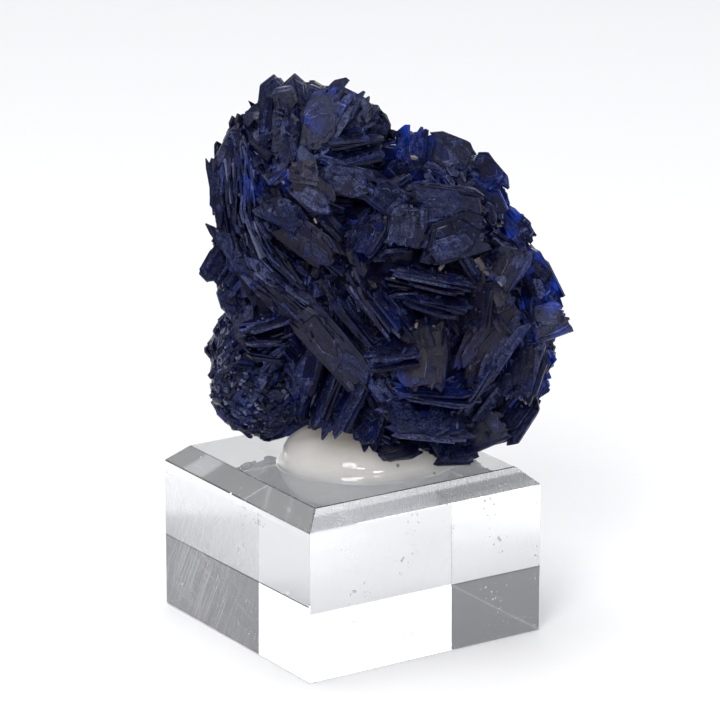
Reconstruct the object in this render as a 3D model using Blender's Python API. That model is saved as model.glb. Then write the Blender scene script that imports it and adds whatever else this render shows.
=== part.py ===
"""An azurite rosette cluster, glued to a clear acrylic display block with a bevelled top.

The row frame has +Z up, its origin at the middle of the block's underside, and X and Y along the block's sides.
The specimen is described in its own frame, with its best side facing -Y, and turned onto the block by
DISPLAY_TURN. Lengths below are in millimetres, angles in degrees, and MM turns a length into metres.
"""

import math

import bmesh
import bpy
import numpy as np
from mathutils import Matrix, Vector

MM = 0.001

# The acrylic block
BLOCK_SIDE = 32.0
BLOCK_HEIGHT = 20.0
BLOCK_BEVEL_IN = 2.2
BLOCK_BEVEL_DOWN = 2.0

# The bead of glue on the block, in the specimen's frame
GLUE_CENTRE = (1.5, -2.4)
GLUE_RADII = (10.5, 8.5)
GLUE_HEIGHT = 4.6
GLUE_SEGMENTS = 28
GLUE_RINGS = 6
GLUE_FLATNESS = 3.4
CLEARANCE = 0.3

# How the specimen is shown: turned on its block, and looked at from a little above by an eye at EYE
DISPLAY_TURN = -33.0
SIGHT_ELEVATION = 16.7
EYE = (0.0, -460.0, 170.0)

# The lobes that the rosettes grow from: name, centre, radii, and the line that the blades' edges follow
LOBES = (
    ("crown", (-5.0, 1.0, 51.9), (10.3, 8.6, 11.6), (0.60, 0.10, -0.80)),
    ("saddle", (5.4, 1.0, 50.8), (7.4, 7.6, 7.4), (0.80, 0.10, -0.50)),
    ("shoulder", (7.2, 0.0, 46.8), (10.7, 10.6, 10.9), (0.95, 0.10, -0.25)),
    ("belly", (8.9, -0.5, 35.8), (14.6, 12.6, 14.9), (0.70, 0.10, -0.70)),
    ("knob", (-12.0, 3.0, 42.2), (4.2, 5.4, 5.2), (0.50, 0.10, 0.80)),
    ("foot", (-9.9, 2.4, 30.0), (6.2, 7.6, 8.0), (0.95, 0.20, 0.20)),
    ("neck", (-2.3, 1.5, 37.7), (11.6, 9.4, 13.4), (0.55, 0.10, -0.80)),
)
LOBE_SUBDIVISIONS = 2

# The main plates on the display side, by hand: where the middle shows (across, up, square to the line of
# sight), the roll of the long axis, how far the face is opened towards the eye (0 edge on, 90 face on, more
# than 90 looks down), the dip of the long axis towards the eye, then length, width and thickness.
PLATES = (
    (8.7, 30.7, 85, 75, 0, 6.8, 5.4, 1.3),
    (8.7, 24.2, -5, 62, 0, 9.2, 6.0, 1.5),
    (10.4, 26.8, -10, 25, 0, 9.5, 5.0, 1.2),
    (-1.8, 32.2, -47, 124, 0, 12.0, 4.8, 1.1),
    (0.4, 35.4, -52, 15, 0, 8.5, 5.0, 1.1),
    (2.7, 36.8, -56, 20, 0, 7.4, 5.0, 1.0),
    (5.2, 36.2, -50, 32, 0, 6.6, 4.6, 1.0),
    (5.2, 31.6, 10, 40, 0, 5.8, 4.0, 1.2),
    (9.4, 39.9, -12, 12, 0, 8.8, 6.0, 1.2),
    (10.6, 37.5, -15, 38, 0, 6.4, 4.6, 1.4),
    (11.8, 44.8, 20, 62, 0, 6.8, 4.6, 1.3),
    (10.9, 48.4, -10, 112, 0, 8.8, 5.0, 1.1),
    (11.2, 54.4, -25, 82, 0, 6.2, 4.2, 1.3),
    (7.4, 54.6, 85, 60, 0, 4.8, 3.8, 1.7),
    (15.4, 52.2, -50, 70, 0, 4.4, 3.6, 1.6),
    (5.0, 49.0, -35, 60, 0, 5.4, 3.6, 1.1),
    (6.6, 46.2, 80, 98, 0, 4.8, 3.8, 1.7),
    (2.5, 45.4, 60, 60, 0, 5.2, 3.8, 1.5),
    (16.2, 32.0, 58, 104, 0, 9.8, 4.8, 1.4),
    (14.6, 28.4, 60, 40, 0, 7.2, 3.8, 1.0),
    (19.6, 29.2, 75, 70, 0, 6.4, 4.6, 1.2),
    (22.6, 34.9, 20, 70, 0, 5.0, 4.0, 1.4),
    (18.8, 24.0, 25, 80, 0, 6.6, 4.4, 1.4),
    (21.4, 40.0, -62, 60, 0, 5.0, 3.8, 1.3),
    (19.0, 45.8, -42, 60, 0, 5.2, 3.8, 1.4),
    (13.8, 42.0, -60, 20, 0, 4.4, 3.4, 0.9),
    (18.0, 41.0, 55, 70, 0, 5.8, 4.2, 1.1),
    (17.6, 36.3, -70, 35, 0, 6.2, 4.6, 1.1),
    (14.6, 36.4, 80, 40, 0, 6.0, 4.2, 1.1),
    (5.7, 20.9, 10, 60, 0, 5.2, 3.8, 1.6),
    (12.2, 20.4, 5, 70, 0, 5.4, 3.6, 1.6),
    (15.6, 22.6, 20, 80, 0, 4.8, 3.4, 1.5),
    (2.4, 22.9, 70, 60, 0, 4.8, 3.6, 1.4),
    (-2.6, 26.8, 72, 20, 0, 7.2, 5.0, 1.0),
    (-0.4, 26.0, 60, 35, 0, 8.0, 4.4, 1.0),
    (-5.0, 29.2, 75, 60, 0, 6.2, 3.4, 1.1),
    (-8.4, 57.0, 88, 90, 0, 8.6, 3.0, 1.1),
    (-3.6, 58.9, 55, 80, 0, 8.2, 4.8, 1.2),
    (-0.2, 58.8, 60, 80, 0, 5.6, 4.2, 1.1),
    (2.2, 58.1, -60, 70, 0, 4.0, 3.2, 1.7),
    (-8.8, 61.2, 80, 70, 0, 4.0, 3.0, 1.2),
    (-6.4, 61.4, 60, 75, 0, 3.8, 3.0, 1.1),
    (-2.4, 61.0, 40, 80, 0, 4.4, 3.2, 1.3),
    (-0.5, 56.8, 8, 30, 0, 6.0, 4.2, 1.0),
    (0.6, 54.4, 12, 30, 0, 6.0, 4.2, 1.0),
    (-0.9, 51.8, -15, 112, 0, 7.0, 3.8, 1.1),
    (-6.2, 52.8, -10, 80, 0, 5.0, 3.4, 1.1),
    (-4.6, 50.4, -35, 80, 0, 6.0, 3.4, 1.0),
    (-8.0, 48.0, -25, 70, 0, 5.4, 3.4, 1.0),
    (-5.2, 44.9, -38, 102, 0, 8.0, 3.6, 1.1),
    (-2.4, 42.6, -40, 40, 0, 5.6, 3.4, 0.9),
    (-12.7, 43.6, -58, 115, 0, 9.4, 3.4, 0.9),
    (-9.3, 38.9, -48, 115, 0, 9.4, 3.4, 0.9),
    (-14.5, 50.2, -82, 108, 0, 8.4, 3.2, 0.9),
    (-13.4, 55.4, 62, 98, 0, 6.0, 3.0, 0.9),
    (-15.6, 41.4, 62, 60, 0, 4.0, 3.0, 1.2),
    (-14.8, 37.8, -70, 70, 0, 4.0, 3.0, 1.2),
    (-9.6, 35.0, 18, 22, 0, 5.6, 4.0, 0.8),
    (-9.4, 33.2, 6, 18, 0, 5.6, 4.0, 0.8),
    (-9.6, 31.2, -10, 16, 0, 5.0, 4.0, 0.8),
)
PLATE_LIFT = 0.5

# The blades that cover the rest of the lobes
FILL_SEED = 11
FILL = {  # lobe: how many directions are tried, then the mean length, thickness and reach out of the lobe
    "crown": (84, 4.6, 0.9, 0.8),
    "saddle": (40, 4.6, 1.1, 1.0),
    "shoulder": (64, 5.4, 1.2, 0.9),
    "belly": (88, 5.8, 1.3, 0.9),
    "knob": (34, 2.8, 0.8, 0.7),
    "foot": (84, 2.8, 0.8, 0.7),
    "neck": (60, 4.8, 1.0, 0.8),
}
FILL_ASPECT = 0.62
FILL_SPREAD = 0.25
LEAN = 1.2
BURIED_DEPTH = 0.90
PLATE_ROOM = 1.7
BLOCK_ROOM = 0.4

# Outlines of a blade's face, as shares of its half length and half width
PLATE_OUTLINES = (
    ((-1.0, -0.5), (-0.6, -1.0), (0.85, -0.9), (1.0, 0.3), (0.6, 1.0), (-0.8, 0.9)),
    ((-1.0, -0.9), (0.7, -1.0), (1.0, 0.1), (0.8, 1.0), (-0.85, 1.0)),
    ((-0.9, -1.0), (0.55, -0.9), (1.0, -0.3), (0.9, 0.9), (-0.3, 1.0), (-1.0, 0.4)),
)
FILL_OUTLINES = (
    ((-1.0, -1.0), (0.65, -1.0), (1.0, 1.0), (-0.75, 0.9)),
    ((-1.0, -0.9), (1.0, -0.7), (0.75, 1.0), (-0.9, 0.7)),
)
TAPER = 0.86


def material(name, colour, roughness, transmission=0.0, ior=1.5):
    """A Principled finish in the part's own colour."""
    made = bpy.data.materials.new(name)
    made.use_nodes = True
    shader = made.node_tree.nodes["Principled BSDF"]
    shader.inputs["Base Color"].default_value = (*colour, 1.0)
    shader.inputs["Roughness"].default_value = roughness
    shader.inputs["Metallic"].default_value = 0.0
    shader.inputs["Transmission Weight"].default_value = transmission
    shader.inputs["IOR"].default_value = ior
    made.diffuse_color = (*colour, 1.0)
    return made


def object_from(name, bm, finish=None):
    """A linked object that holds the bmesh, in millimetres until to_row_frame places it."""
    mesh = bpy.data.meshes.new(name)
    bm.to_mesh(mesh)
    bm.free()
    made = bpy.data.objects.new(name, mesh)
    bpy.context.scene.collection.objects.link(made)
    if finish:
        mesh.materials.append(finish)
    return made


def to_row_frame(obj, turned):
    """Millimetres to metres, with the specimen's frame turned onto the block."""
    turn = Matrix.Rotation(math.radians(DISPLAY_TURN if turned else 0.0), 4, "Z")
    obj.data.transform(Matrix.Scale(MM, 4) @ turn)


def apply_boolean(obj, other, operation):
    """Joins or cuts obj with other by the exact solver, then removes other."""
    modifier = obj.modifiers.new(operation.lower(), "BOOLEAN")
    modifier.operation = operation
    modifier.solver = "EXACT"
    modifier.use_self = operation == "UNION"
    modifier.object = other
    graph = bpy.context.evaluated_depsgraph_get()
    result = bpy.data.meshes.new_from_object(obj.evaluated_get(graph))
    obj.modifiers.clear()
    obj.data = result
    bpy.data.objects.remove(other)


def keep_outer_shell(obj):
    """Fills the closed voids between blades and drops specks: only the largest connected shell stays."""
    bm = bmesh.new()
    bm.from_mesh(obj.data)
    unseen = set(bm.verts)
    shells = []
    while unseen:
        shell = {unseen.pop()}
        front = list(shell)
        while front:
            vert = front.pop()
            for edge in vert.link_edges:
                other = edge.other_vert(vert)
                if other in unseen:
                    unseen.discard(other)
                    shell.add(other)
                    front.append(other)
        shells.append(shell)
    largest = max(shells, key=len)
    bmesh.ops.delete(bm, geom=[v for v in bm.verts if v not in largest], context="VERTS")
    bm.to_mesh(obj.data)
    bm.free()


def sight_axes():
    """Unit vectors of the display view in the specimen's frame: across, up and away from the eye."""
    rise = math.radians(SIGHT_ELEVATION)
    across = Vector((1.0, 0.0, 0.0))
    up = Vector((0.0, math.sin(rise), math.cos(rise)))
    away = Vector((0.0, math.cos(rise), -math.sin(rise)))
    return across, up, away


def lobe_depth(point, lobe):
    """How far out a point is in a lobe: 0 at its centre, 1 on its surface."""
    _, centre, radii, _ = lobe
    return math.sqrt(sum(((point[i] - centre[i]) / radii[i]) ** 2 for i in range(3)))


def lobe_normal(point, lobe):
    _, centre, radii, _ = lobe
    return Vector(((point[i] - centre[i]) / radii[i] ** 2 for i in range(3))).normalized()


def seen_point(across_mm, up_mm):
    """Where the eye's line through a place on the display side meets the lobes, and the way out of the lobe there."""
    across, up, _ = sight_axes()
    eye = Vector(EYE)
    sight = (across * across_mm + up * up_mm - eye).normalized()
    best = None
    for lobe in LOBES:
        _, centre, radii, _ = lobe
        offset = Vector(((eye[i] - centre[i]) / radii[i] for i in range(3)))
        step = Vector((sight[i] / radii[i] for i in range(3)))
        a, b, c = step.dot(step), offset.dot(step), offset.dot(offset) - 1.0
        root = b * b - a * c
        along = (-b - math.sqrt(max(root, 0.0))) / a
        point = eye + sight * along
        miss = lobe_depth(point, lobe) if root < 0.0 else 1.0
        rank = (miss, along)
        if best is None or rank < best[0]:
            middle = Vector(centre)
            best = (rank, middle + (point - middle) / miss, lobe_normal(point, lobe))
    return best[1], best[2]


def blade(length, width, thickness, outline):
    """A tabular crystal about its own middle: a flat outline drawn out to its thickness, one face a little smaller."""
    bm = bmesh.new()
    corners = [bm.verts.new((x * length / 2, y * width / 2, -thickness / 2)) for x, y in outline]
    face = bm.faces.new(corners)
    raised = bmesh.ops.extrude_face_region(bm, geom=[face])["geom"]
    far = [v for v in raised if isinstance(v, bmesh.types.BMVert)]
    bmesh.ops.translate(bm, vec=(0, 0, thickness), verts=far)
    bmesh.ops.scale(bm, vec=(TAPER, TAPER, 1.0), verts=far)
    bmesh.ops.recalc_face_normals(bm, faces=bm.faces)
    return bm


def frame_of(normal, long_axis, middle):
    """The matrix that lays a blade's thickness along normal and its length near long_axis."""
    n = normal.normalized()
    x = (long_axis - n * long_axis.dot(n)).normalized()
    y = n.cross(x)
    turn = Matrix((x, y, n)).transposed().to_4x4()
    return Matrix.Translation(middle) @ turn


def plate_frame(plate):
    """Where a plate of the list lies, from how it looks on the display side."""
    across_mm, up_mm, roll, opened, dip, _, _, _ = plate
    across, up, away = sight_axes()
    roll, opened, dip = (math.radians(v) for v in (roll, opened, dip))
    long_axis = (across * math.cos(roll) + up * math.sin(roll)) * math.cos(dip) - away * math.sin(dip)
    aside = up * math.cos(roll) - across * math.sin(roll)
    normal = aside * math.cos(opened) - away * math.sin(opened)
    point, out = seen_point(across_mm, up_mm)
    return frame_of(normal, long_axis, point + out * PLATE_LIFT)


def even_directions(count, turn):
    """Directions spread evenly over a sphere, along a golden-angle spiral."""
    golden = math.pi * (3.0 - math.sqrt(5.0))
    for i in range(count):
        z = 1.0 - (2.0 * i + 1.0) / count
        r = math.sqrt(1.0 - z * z)
        yield Vector((r * math.cos(golden * i + turn), r * math.sin(golden * i + turn), z))


def fill_frames():
    """The covering blades: frame and size of each, standing on their lobes with the edges along its grain."""
    random = np.random.RandomState(FILL_SEED)
    plates = [plate_frame(p).translation for p in PLATES]
    for lobe in LOBES:
        name, centre, radii, grain = lobe
        count, mean_length, mean_thickness, mean_reach = FILL[name]
        for direction in even_directions(count, random.uniform(0, math.tau)):
            jitter = Vector(random.normal(0.0, FILL_SPREAD, 3))
            size = random.uniform(0.75, 1.25, 3)
            reach = mean_reach * random.uniform(0.6, 1.3)
            foot = Vector((centre[i] + radii[i] * direction[i] for i in range(3)))
            if any(lobe_depth(foot, other) < BURIED_DEPTH for other in LOBES if other is not lobe):
                continue
            if min((foot - p).length for p in plates) < PLATE_ROOM:
                continue
            out = lobe_normal(foot, lobe)
            length = mean_length * size[0]
            width = mean_length * FILL_ASPECT * size[1]
            if foot.z - width / 2 < BLOCK_HEIGHT + BLOCK_ROOM:
                continue
            along = Vector(grain) + jitter
            edge = (along - out * along.dot(out)).normalized()
            normal = (edge.cross(out) + jitter * LEAN).normalized()
            yield frame_of(normal, edge, foot + out * (reach - width / 2)), (length, width, mean_thickness * size[2])


def stamp(bm, matrix, size, outline):
    """Adds one blade to bm."""
    one = blade(*size, outline)
    one.transform(matrix)
    mesh = bpy.data.meshes.new("blade")
    one.to_mesh(mesh)
    one.free()
    bm.from_mesh(mesh)
    bpy.data.meshes.remove(mesh)


def make_cluster():
    """The specimen: lobes and blades grown together into one solid, hollowed where the glue sits."""
    bm = bmesh.new()
    for number, plate in enumerate(PLATES):
        stamp(bm, plate_frame(plate), plate[5:], PLATE_OUTLINES[number % len(PLATE_OUTLINES)])
    for number, (matrix, size) in enumerate(fill_frames()):
        stamp(bm, matrix, size, FILL_OUTLINES[number % len(FILL_OUTLINES)])
    blades = object_from("blades", bm)
    core = bmesh.new()
    for _, centre, radii, _ in LOBES:
        shape = Matrix.Translation(centre) @ Matrix.Diagonal((*radii, 1.0))
        bmesh.ops.create_icosphere(core, subdivisions=LOBE_SUBDIVISIONS, radius=1.0, matrix=shape)
    cluster = object_from("azurite_cluster", core, material("azurite", (0.012, 0.018, 0.07), 0.35))
    apply_boolean(cluster, blades, "UNION")
    keep_outer_shell(cluster)
    apply_boolean(cluster, glue_dome(CLEARANCE, "seat"), "DIFFERENCE")
    keep_outer_shell(cluster)
    to_row_frame(cluster, turned=True)
    return cluster


def glue_height(share):
    """The bead's height at a share of its radius: domed, with a rim that stands nearly upright."""
    return GLUE_HEIGHT * math.sqrt(max(0.0, 1.0 - share**GLUE_FLATNESS))


def glue_dome(margin, name, finish=None):
    """The bead of glue, or with a margin the room that it needs, as a dome of rings on the block's top."""
    bm = bmesh.new()
    floor = BLOCK_HEIGHT + (CLEARANCE if margin == 0.0 else -CLEARANCE)
    shares = [math.sin(math.pi / 2 * i / GLUE_RINGS) for i in range(1, GLUE_RINGS + 1)]
    rings = []
    for share in shares:
        z = max(floor, BLOCK_HEIGHT + glue_height(share) + margin)
        if share == shares[-1]:
            z = floor
        ring = []
        for k in range(GLUE_SEGMENTS):
            angle = math.tau * k / GLUE_SEGMENTS
            x = GLUE_CENTRE[0] + (GLUE_RADII[0] * share + margin) * math.cos(angle)
            y = GLUE_CENTRE[1] + (GLUE_RADII[1] * share + margin) * math.sin(angle)
            ring.append(bm.verts.new((x, y, z)))
        rings.append(ring)
    top = bm.verts.new((*GLUE_CENTRE, BLOCK_HEIGHT + GLUE_HEIGHT + margin))
    for k in range(GLUE_SEGMENTS):
        after = (k + 1) % GLUE_SEGMENTS
        bm.faces.new((top, rings[0][k], rings[0][after]))
        for inner, outer in zip(rings, rings[1:]):
            bm.faces.new((inner[k], outer[k], outer[after], inner[after]))
    bm.faces.new(list(reversed(rings[-1])))
    bmesh.ops.recalc_face_normals(bm, faces=bm.faces)
    return object_from(name, bm, finish)


def make_glue():
    finish = material("set_glue", (0.62, 0.56, 0.50), 0.12)
    glue = glue_dome(0.0, "glue_bead", finish)
    to_row_frame(glue, turned=True)
    return glue


def make_block():
    """A square acrylic block whose top edges are cut back in a flat bevel."""
    bm = bmesh.new()
    waist = BLOCK_HEIGHT - BLOCK_BEVEL_DOWN
    middle = Matrix.Translation((0, 0, waist / 2)) @ Matrix.Diagonal((BLOCK_SIDE, BLOCK_SIDE, waist, 1.0))
    bmesh.ops.create_cube(bm, size=1.0, matrix=middle)
    top = max(bm.faces, key=lambda face: face.calc_center_median().z)
    raised = bmesh.ops.extrude_face_region(bm, geom=[top])["geom"]
    corners = [v for v in raised if isinstance(v, bmesh.types.BMVert)]
    bmesh.ops.delete(bm, geom=[top], context="FACES_ONLY")
    bmesh.ops.translate(bm, vec=(0, 0, BLOCK_BEVEL_DOWN), verts=corners)
    inset = 1.0 - 2.0 * BLOCK_BEVEL_IN / BLOCK_SIDE
    bmesh.ops.scale(bm, vec=(inset, inset, 1.0), verts=corners)
    bmesh.ops.recalc_face_normals(bm, faces=bm.faces)
    block = object_from("acrylic_block", bm, material("acrylic", (0.95, 0.96, 0.97), 0.02, 1.0, 1.49))
    to_row_frame(block, turned=False)
    return block


def main():
    for obj in list(bpy.data.objects):
        bpy.data.objects.remove(obj)
    make_block()
    make_glue()
    make_cluster()


main()
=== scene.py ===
"""The looks of an azurite specimen, glued to a clear acrylic display block with a bevelled top.

The specimen is described in its own frame, as in the part's source: millimetres, its best side facing -Y, and
turned onto the block by DISPLAY_TURN. Everything in Blender is in metres, in the row frame.
"""

import math
from collections import namedtuple
from itertools import cycle

import bmesh
import bpy
import numpy as np
from bpy.props import FloatProperty, IntProperty, PointerProperty, StringProperty
from mathutils import Matrix, Vector


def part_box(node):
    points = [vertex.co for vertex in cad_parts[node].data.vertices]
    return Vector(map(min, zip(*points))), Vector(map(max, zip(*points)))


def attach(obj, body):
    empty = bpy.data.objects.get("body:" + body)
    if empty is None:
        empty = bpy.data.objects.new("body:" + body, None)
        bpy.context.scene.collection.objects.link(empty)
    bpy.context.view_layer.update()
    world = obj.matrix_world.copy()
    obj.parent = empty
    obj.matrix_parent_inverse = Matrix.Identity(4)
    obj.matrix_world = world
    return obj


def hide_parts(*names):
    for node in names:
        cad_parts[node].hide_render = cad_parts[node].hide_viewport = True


bl_info = {
    "name": "Azurite specimen",
    "version": (1, 0, 0),
    "blender": (4, 5, 0),
    "location": "View3D > Sidebar > Azurite",
    "description": "Builds an azurite cluster, its bead of glue and its acrylic block in the packed frame",
    "category": "Object",
}

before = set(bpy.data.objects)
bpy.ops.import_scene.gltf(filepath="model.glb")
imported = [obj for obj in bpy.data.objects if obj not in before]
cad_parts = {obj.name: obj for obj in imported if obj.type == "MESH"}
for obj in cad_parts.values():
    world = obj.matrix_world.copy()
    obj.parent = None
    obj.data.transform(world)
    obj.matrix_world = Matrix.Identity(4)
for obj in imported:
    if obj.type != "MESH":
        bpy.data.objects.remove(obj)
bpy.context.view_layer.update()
BLOCK_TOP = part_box("acrylic_block")[1].z * 1000.0
MM = 0.001

# How the specimen is shown: turned on its block, and looked at from a little above by an eye at EYE
DISPLAY_TURN = -33.0
SIGHT_RISE = math.radians(16.7)
EYE = (0.0, -460.0, 170.0)
# Across, up and away from the eye
ACROSS = np.array((1.0, 0.0, 0.0))
UP = np.array((0.0, math.sin(SIGHT_RISE), math.cos(SIGHT_RISE)))
AWAY = np.array((0.0, math.cos(SIGHT_RISE), -math.sin(SIGHT_RISE)))

# The lobes that the rosettes grow from: name, centre, radii, and the line that the blades' edges follow
Lobe = namedtuple("Lobe", "name centre radii grain")
LOBES = (
    Lobe("crown", (-5.0, 1.0, 51.9), (10.3, 8.6, 11.6), (0.60, 0.10, -0.80)),
    Lobe("saddle", (5.4, 1.0, 50.8), (7.4, 7.6, 7.4), (0.80, 0.10, -0.50)),
    Lobe("shoulder", (7.2, 0.0, 46.8), (10.7, 10.6, 10.9), (0.95, 0.10, -0.25)),
    Lobe("belly", (8.9, -0.5, 35.8), (14.6, 12.6, 14.9), (0.70, 0.10, -0.70)),
    Lobe("knob", (-12.0, 3.0, 42.2), (4.2, 5.4, 5.2), (0.50, 0.10, 0.80)),
    Lobe("foot", (-9.9, 2.4, 30.0), (6.2, 7.6, 8.0), (0.95, 0.20, 0.20)),
    Lobe("neck", (-2.3, 1.5, 37.7), (11.6, 9.4, 13.4), (0.55, 0.10, -0.80)),
)

# The main plates on the display side: where the middle shows (across, up, square to the line of
# sight), the roll of the long axis, how far the face is opened towards the eye (0 edge on, 90 face on, more
# than 90 looks down), length, width, thickness and the shape. They follow the part's own list, with a shape
# added, and with a few plates split, moved or added at the crown.
PLATES = (
    (8.7, 30.7, 85, 75, 6.8, 5.4, 1.3, "square"),
    (8.7, 24.2, -5, 62, 9.2, 6.0, 1.5, "shield"),
    (10.4, 26.8, -10, 25, 9.5, 5.0, 1.2, "lath"),
    (-1.8, 32.2, -47, 124, 12.0, 4.8, 1.1, "oval"),
    (0.4, 35.4, -52, 15, 8.5, 5.0, 1.1, "lath"),
    (2.7, 36.8, -56, 20, 7.4, 5.0, 1.0, "lath"),
    (5.2, 36.2, -50, 32, 6.6, 4.6, 1.0, "lath"),
    (5.2, 31.6, 10, 40, 5.8, 4.0, 1.2, "shield"),
    (9.4, 39.9, -12, 12, 8.8, 6.0, 1.2, "lath"),
    (10.6, 37.5, -15, 38, 6.4, 4.6, 1.4, "square"),
    (11.8, 44.8, 20, 102, 6.8, 4.6, 1.3, "wedge"),
    (10.9, 48.4, -10, 112, 8.8, 5.0, 1.1, "wedge"),
    (11.2, 54.4, -25, 82, 6.2, 4.2, 1.3, "oval"),
    (7.4, 54.6, 85, 60, 4.8, 3.8, 1.7, "square"),
    (15.4, 52.2, -50, 70, 4.4, 3.6, 1.6, "shield"),
    (5.0, 49.0, -35, 60, 5.4, 3.6, 1.1, "wedge"),
    (6.6, 46.2, 80, 98, 4.8, 3.8, 1.7, "shield"),
    (2.5, 45.4, 60, 60, 5.2, 3.8, 1.5, "wedge"),
    (16.2, 32.0, 58, 104, 9.8, 4.8, 1.4, "lath"),
    (14.6, 28.4, 60, 40, 7.2, 3.8, 1.0, "lath"),
    (19.6, 29.2, 75, 70, 6.4, 4.6, 1.2, "shield"),
    (22.6, 34.9, 20, 70, 5.0, 4.0, 1.4, "square"),
    (18.8, 24.0, 58, 60, 6.6, 4.4, 1.4, "lath"),
    (21.4, 40.0, -62, 60, 5.0, 3.8, 1.3, "wedge"),
    (19.0, 45.8, -42, 60, 5.2, 3.8, 1.4, "shield"),
    (13.8, 42.0, -60, 20, 4.4, 3.4, 0.9, "lath"),
    (18.0, 41.0, 55, 70, 5.8, 4.2, 1.1, "square"),
    (17.6, 36.3, -70, 35, 6.2, 4.6, 1.1, "wedge"),
    (14.6, 36.4, 80, 40, 6.0, 4.2, 1.1, "lath"),
    (5.7, 20.9, 10, 60, 5.2, 3.8, 1.6, "shield"),
    (12.2, 20.4, 5, 70, 5.4, 3.6, 1.6, "shield"),
    (15.6, 22.6, 20, 80, 4.8, 3.4, 1.5, "square"),
    (2.4, 22.9, 70, 60, 4.8, 3.6, 1.4, "wedge"),
    (-2.6, 26.8, 72, 20, 7.2, 5.0, 1.0, "lath"),
    (-0.4, 26.0, 60, 35, 8.0, 4.4, 1.0, "lath"),
    (-5.0, 29.2, 75, 60, 6.2, 3.4, 1.1, "oval"),
    (-8.2, 57.0, 88, 84, 7.8, 1.8, 1.1, "lath"),
    (-9.7, 57.4, 94, 66, 6.4, 1.6, 1.0, "lath"),
    (-6.9, 56.4, 84, 70, 7.0, 1.5, 1.0, "lath"),
    (-3.6, 58.3, 55, 80, 7.4, 4.6, 1.2, "shield"),
    (-0.2, 58.8, 60, 80, 5.6, 4.2, 1.1, "wedge"),
    (2.2, 58.1, -60, 70, 4.0, 3.2, 1.7, "shield"),
    (-8.9, 61.6, 84, 72, 5.2, 3.8, 1.4, "spear"),
    (-6.6, 61.9, 96, 75, 4.4, 3.4, 1.2, "spear"),
    (-7.8, 60.6, 60, 82, 5.0, 3.6, 1.3, "spear"),
    (-2.2, 60.2, 62, 80, 4.2, 3.4, 1.3, "spear"),
    (-4.4, 61.2, 110, 70, 3.8, 3.0, 1.2, "spear"),
    (-0.5, 56.8, 8, 30, 6.0, 4.2, 1.0, "lath"),
    (0.6, 54.4, 12, 30, 6.0, 4.2, 1.0, "square"),
    (-0.9, 51.8, -15, 112, 7.0, 3.8, 1.1, "wedge"),
    (-5.4, 52.6, -10, 80, 3.4, 2.5, 1.1, "square"),
    (-8.6, 52.4, 40, 60, 3.2, 2.2, 1.0, "wedge"),
    (-4.6, 50.4, -35, 80, 6.0, 3.4, 1.0, "lath"),
    (-8.0, 48.0, -25, 70, 5.4, 3.4, 1.0, "wedge"),
    (-5.2, 44.9, -38, 102, 8.0, 3.6, 1.1, "oval"),
    (-2.4, 42.6, -40, 40, 5.6, 3.4, 0.9, "lath"),
    (-12.7, 43.6, -58, 115, 9.4, 3.4, 0.9, "lath"),
    (-9.3, 38.9, -48, 115, 9.4, 3.4, 0.9, "lath"),
    (-14.5, 50.2, -82, 108, 8.4, 3.2, 0.9, "lath"),
    (-13.4, 55.4, 62, 98, 6.0, 3.0, 0.9, "lath"),
    (-15.6, 41.4, 62, 60, 4.0, 3.0, 1.2, "wedge"),
    (-13.7, 37.6, -70, 70, 4.0, 2.8, 1.2, "shield"),
    (-9.6, 35.0, 18, 22, 5.6, 4.0, 0.8, "lath"),
    (-9.4, 33.2, 6, 18, 5.6, 4.0, 0.8, "lath"),
    (-9.6, 31.2, -10, 16, 5.0, 4.0, 0.8, "lath"),
)
PLATE_LIFT = 0.5

# Chains of thin blades seen nearly edge on, as (across, up) along the chain: the long curved rim on the left
RIBS = (
    ((-15.6, 54.0), (-15.4, 48.6), (-13.4, 43.4), (-10.0, 39.2), (-6.4, 36.4)),
    ((-14.0, 52.6), (-13.8, 47.8), (-11.8, 43.0), (-8.6, 39.4), (-5.4, 37.4)),
    ((-13.0, 56.8), (-12.0, 52.6), (-11.8, 48.2), (-9.8, 44.2), (-7.0, 41.0)),
    ((-4.6, 24.4), (-1.6, 23.0), (1.8, 22.0), (4.6, 20.6)),
)

# Fans of thin blades: where they meet (across, up), the first and last direction, how many, and their length
FANS = (
    (-6.6, 35.0, 186, 204, 7, 6.0),
    (-6.4, 33.6, 200, 230, 8, 5.2),
    (-3.0, 28.6, 238, 262, 6, 5.6),
    (9.0, 38.4, 158, 184, 5, 5.0),
    (17.6, 27.4, 214, 236, 5, 5.4),
)

# Where a bright blue glow of light through thin crystals is painted on the display side: across, up, radius,
# strength
GLOW_SPOTS = (
    (-4.8, 58.6, 1.1, 1.0),
    (-1.2, 62.3, 1.8, 1.0),
    (7.2, 28.0, 2.2, 0.8),
    (11.0, 29.6, 1.6, 0.8),
    (17.5, 50.6, 3.4, 0.7),
    (21.0, 44.6, 4.2, 1.0),
    (22.6, 38.4, 4.4, 1.0),
    (24.0, 32.0, 3.8, 1.0),
    (23.4, 26.6, 3.4, 1.0),
    (20.5, 22.5, 3.0, 0.5),
    (6.6, 55.5, 2.6, 0.6),
    (9.4, 53.0, 1.6, 0.5),
    (-7.6, 52.2, 1.6, 0.7),
    (-11.0, 51.4, 1.4, 0.6),
    (-16.0, 24.0, 2.0, 0.5),
)

# Where iron stains the crystals brown on the display side
BROWN_SPOTS = (
    (8.7, 30.4, 2.0, 0.8),
    (-5.4, 52.6, 1.3, 0.8),
    (-2.0, 33.4, 2.0, 0.35),
    (15.4, 32.0, 2.2, 0.35),
    (16.0, 37.4, 2.0, 0.5),
    (-4.0, 45.2, 2.0, 0.4),
    (-12.8, 33.6, 1.6, 0.5),
)

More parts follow.
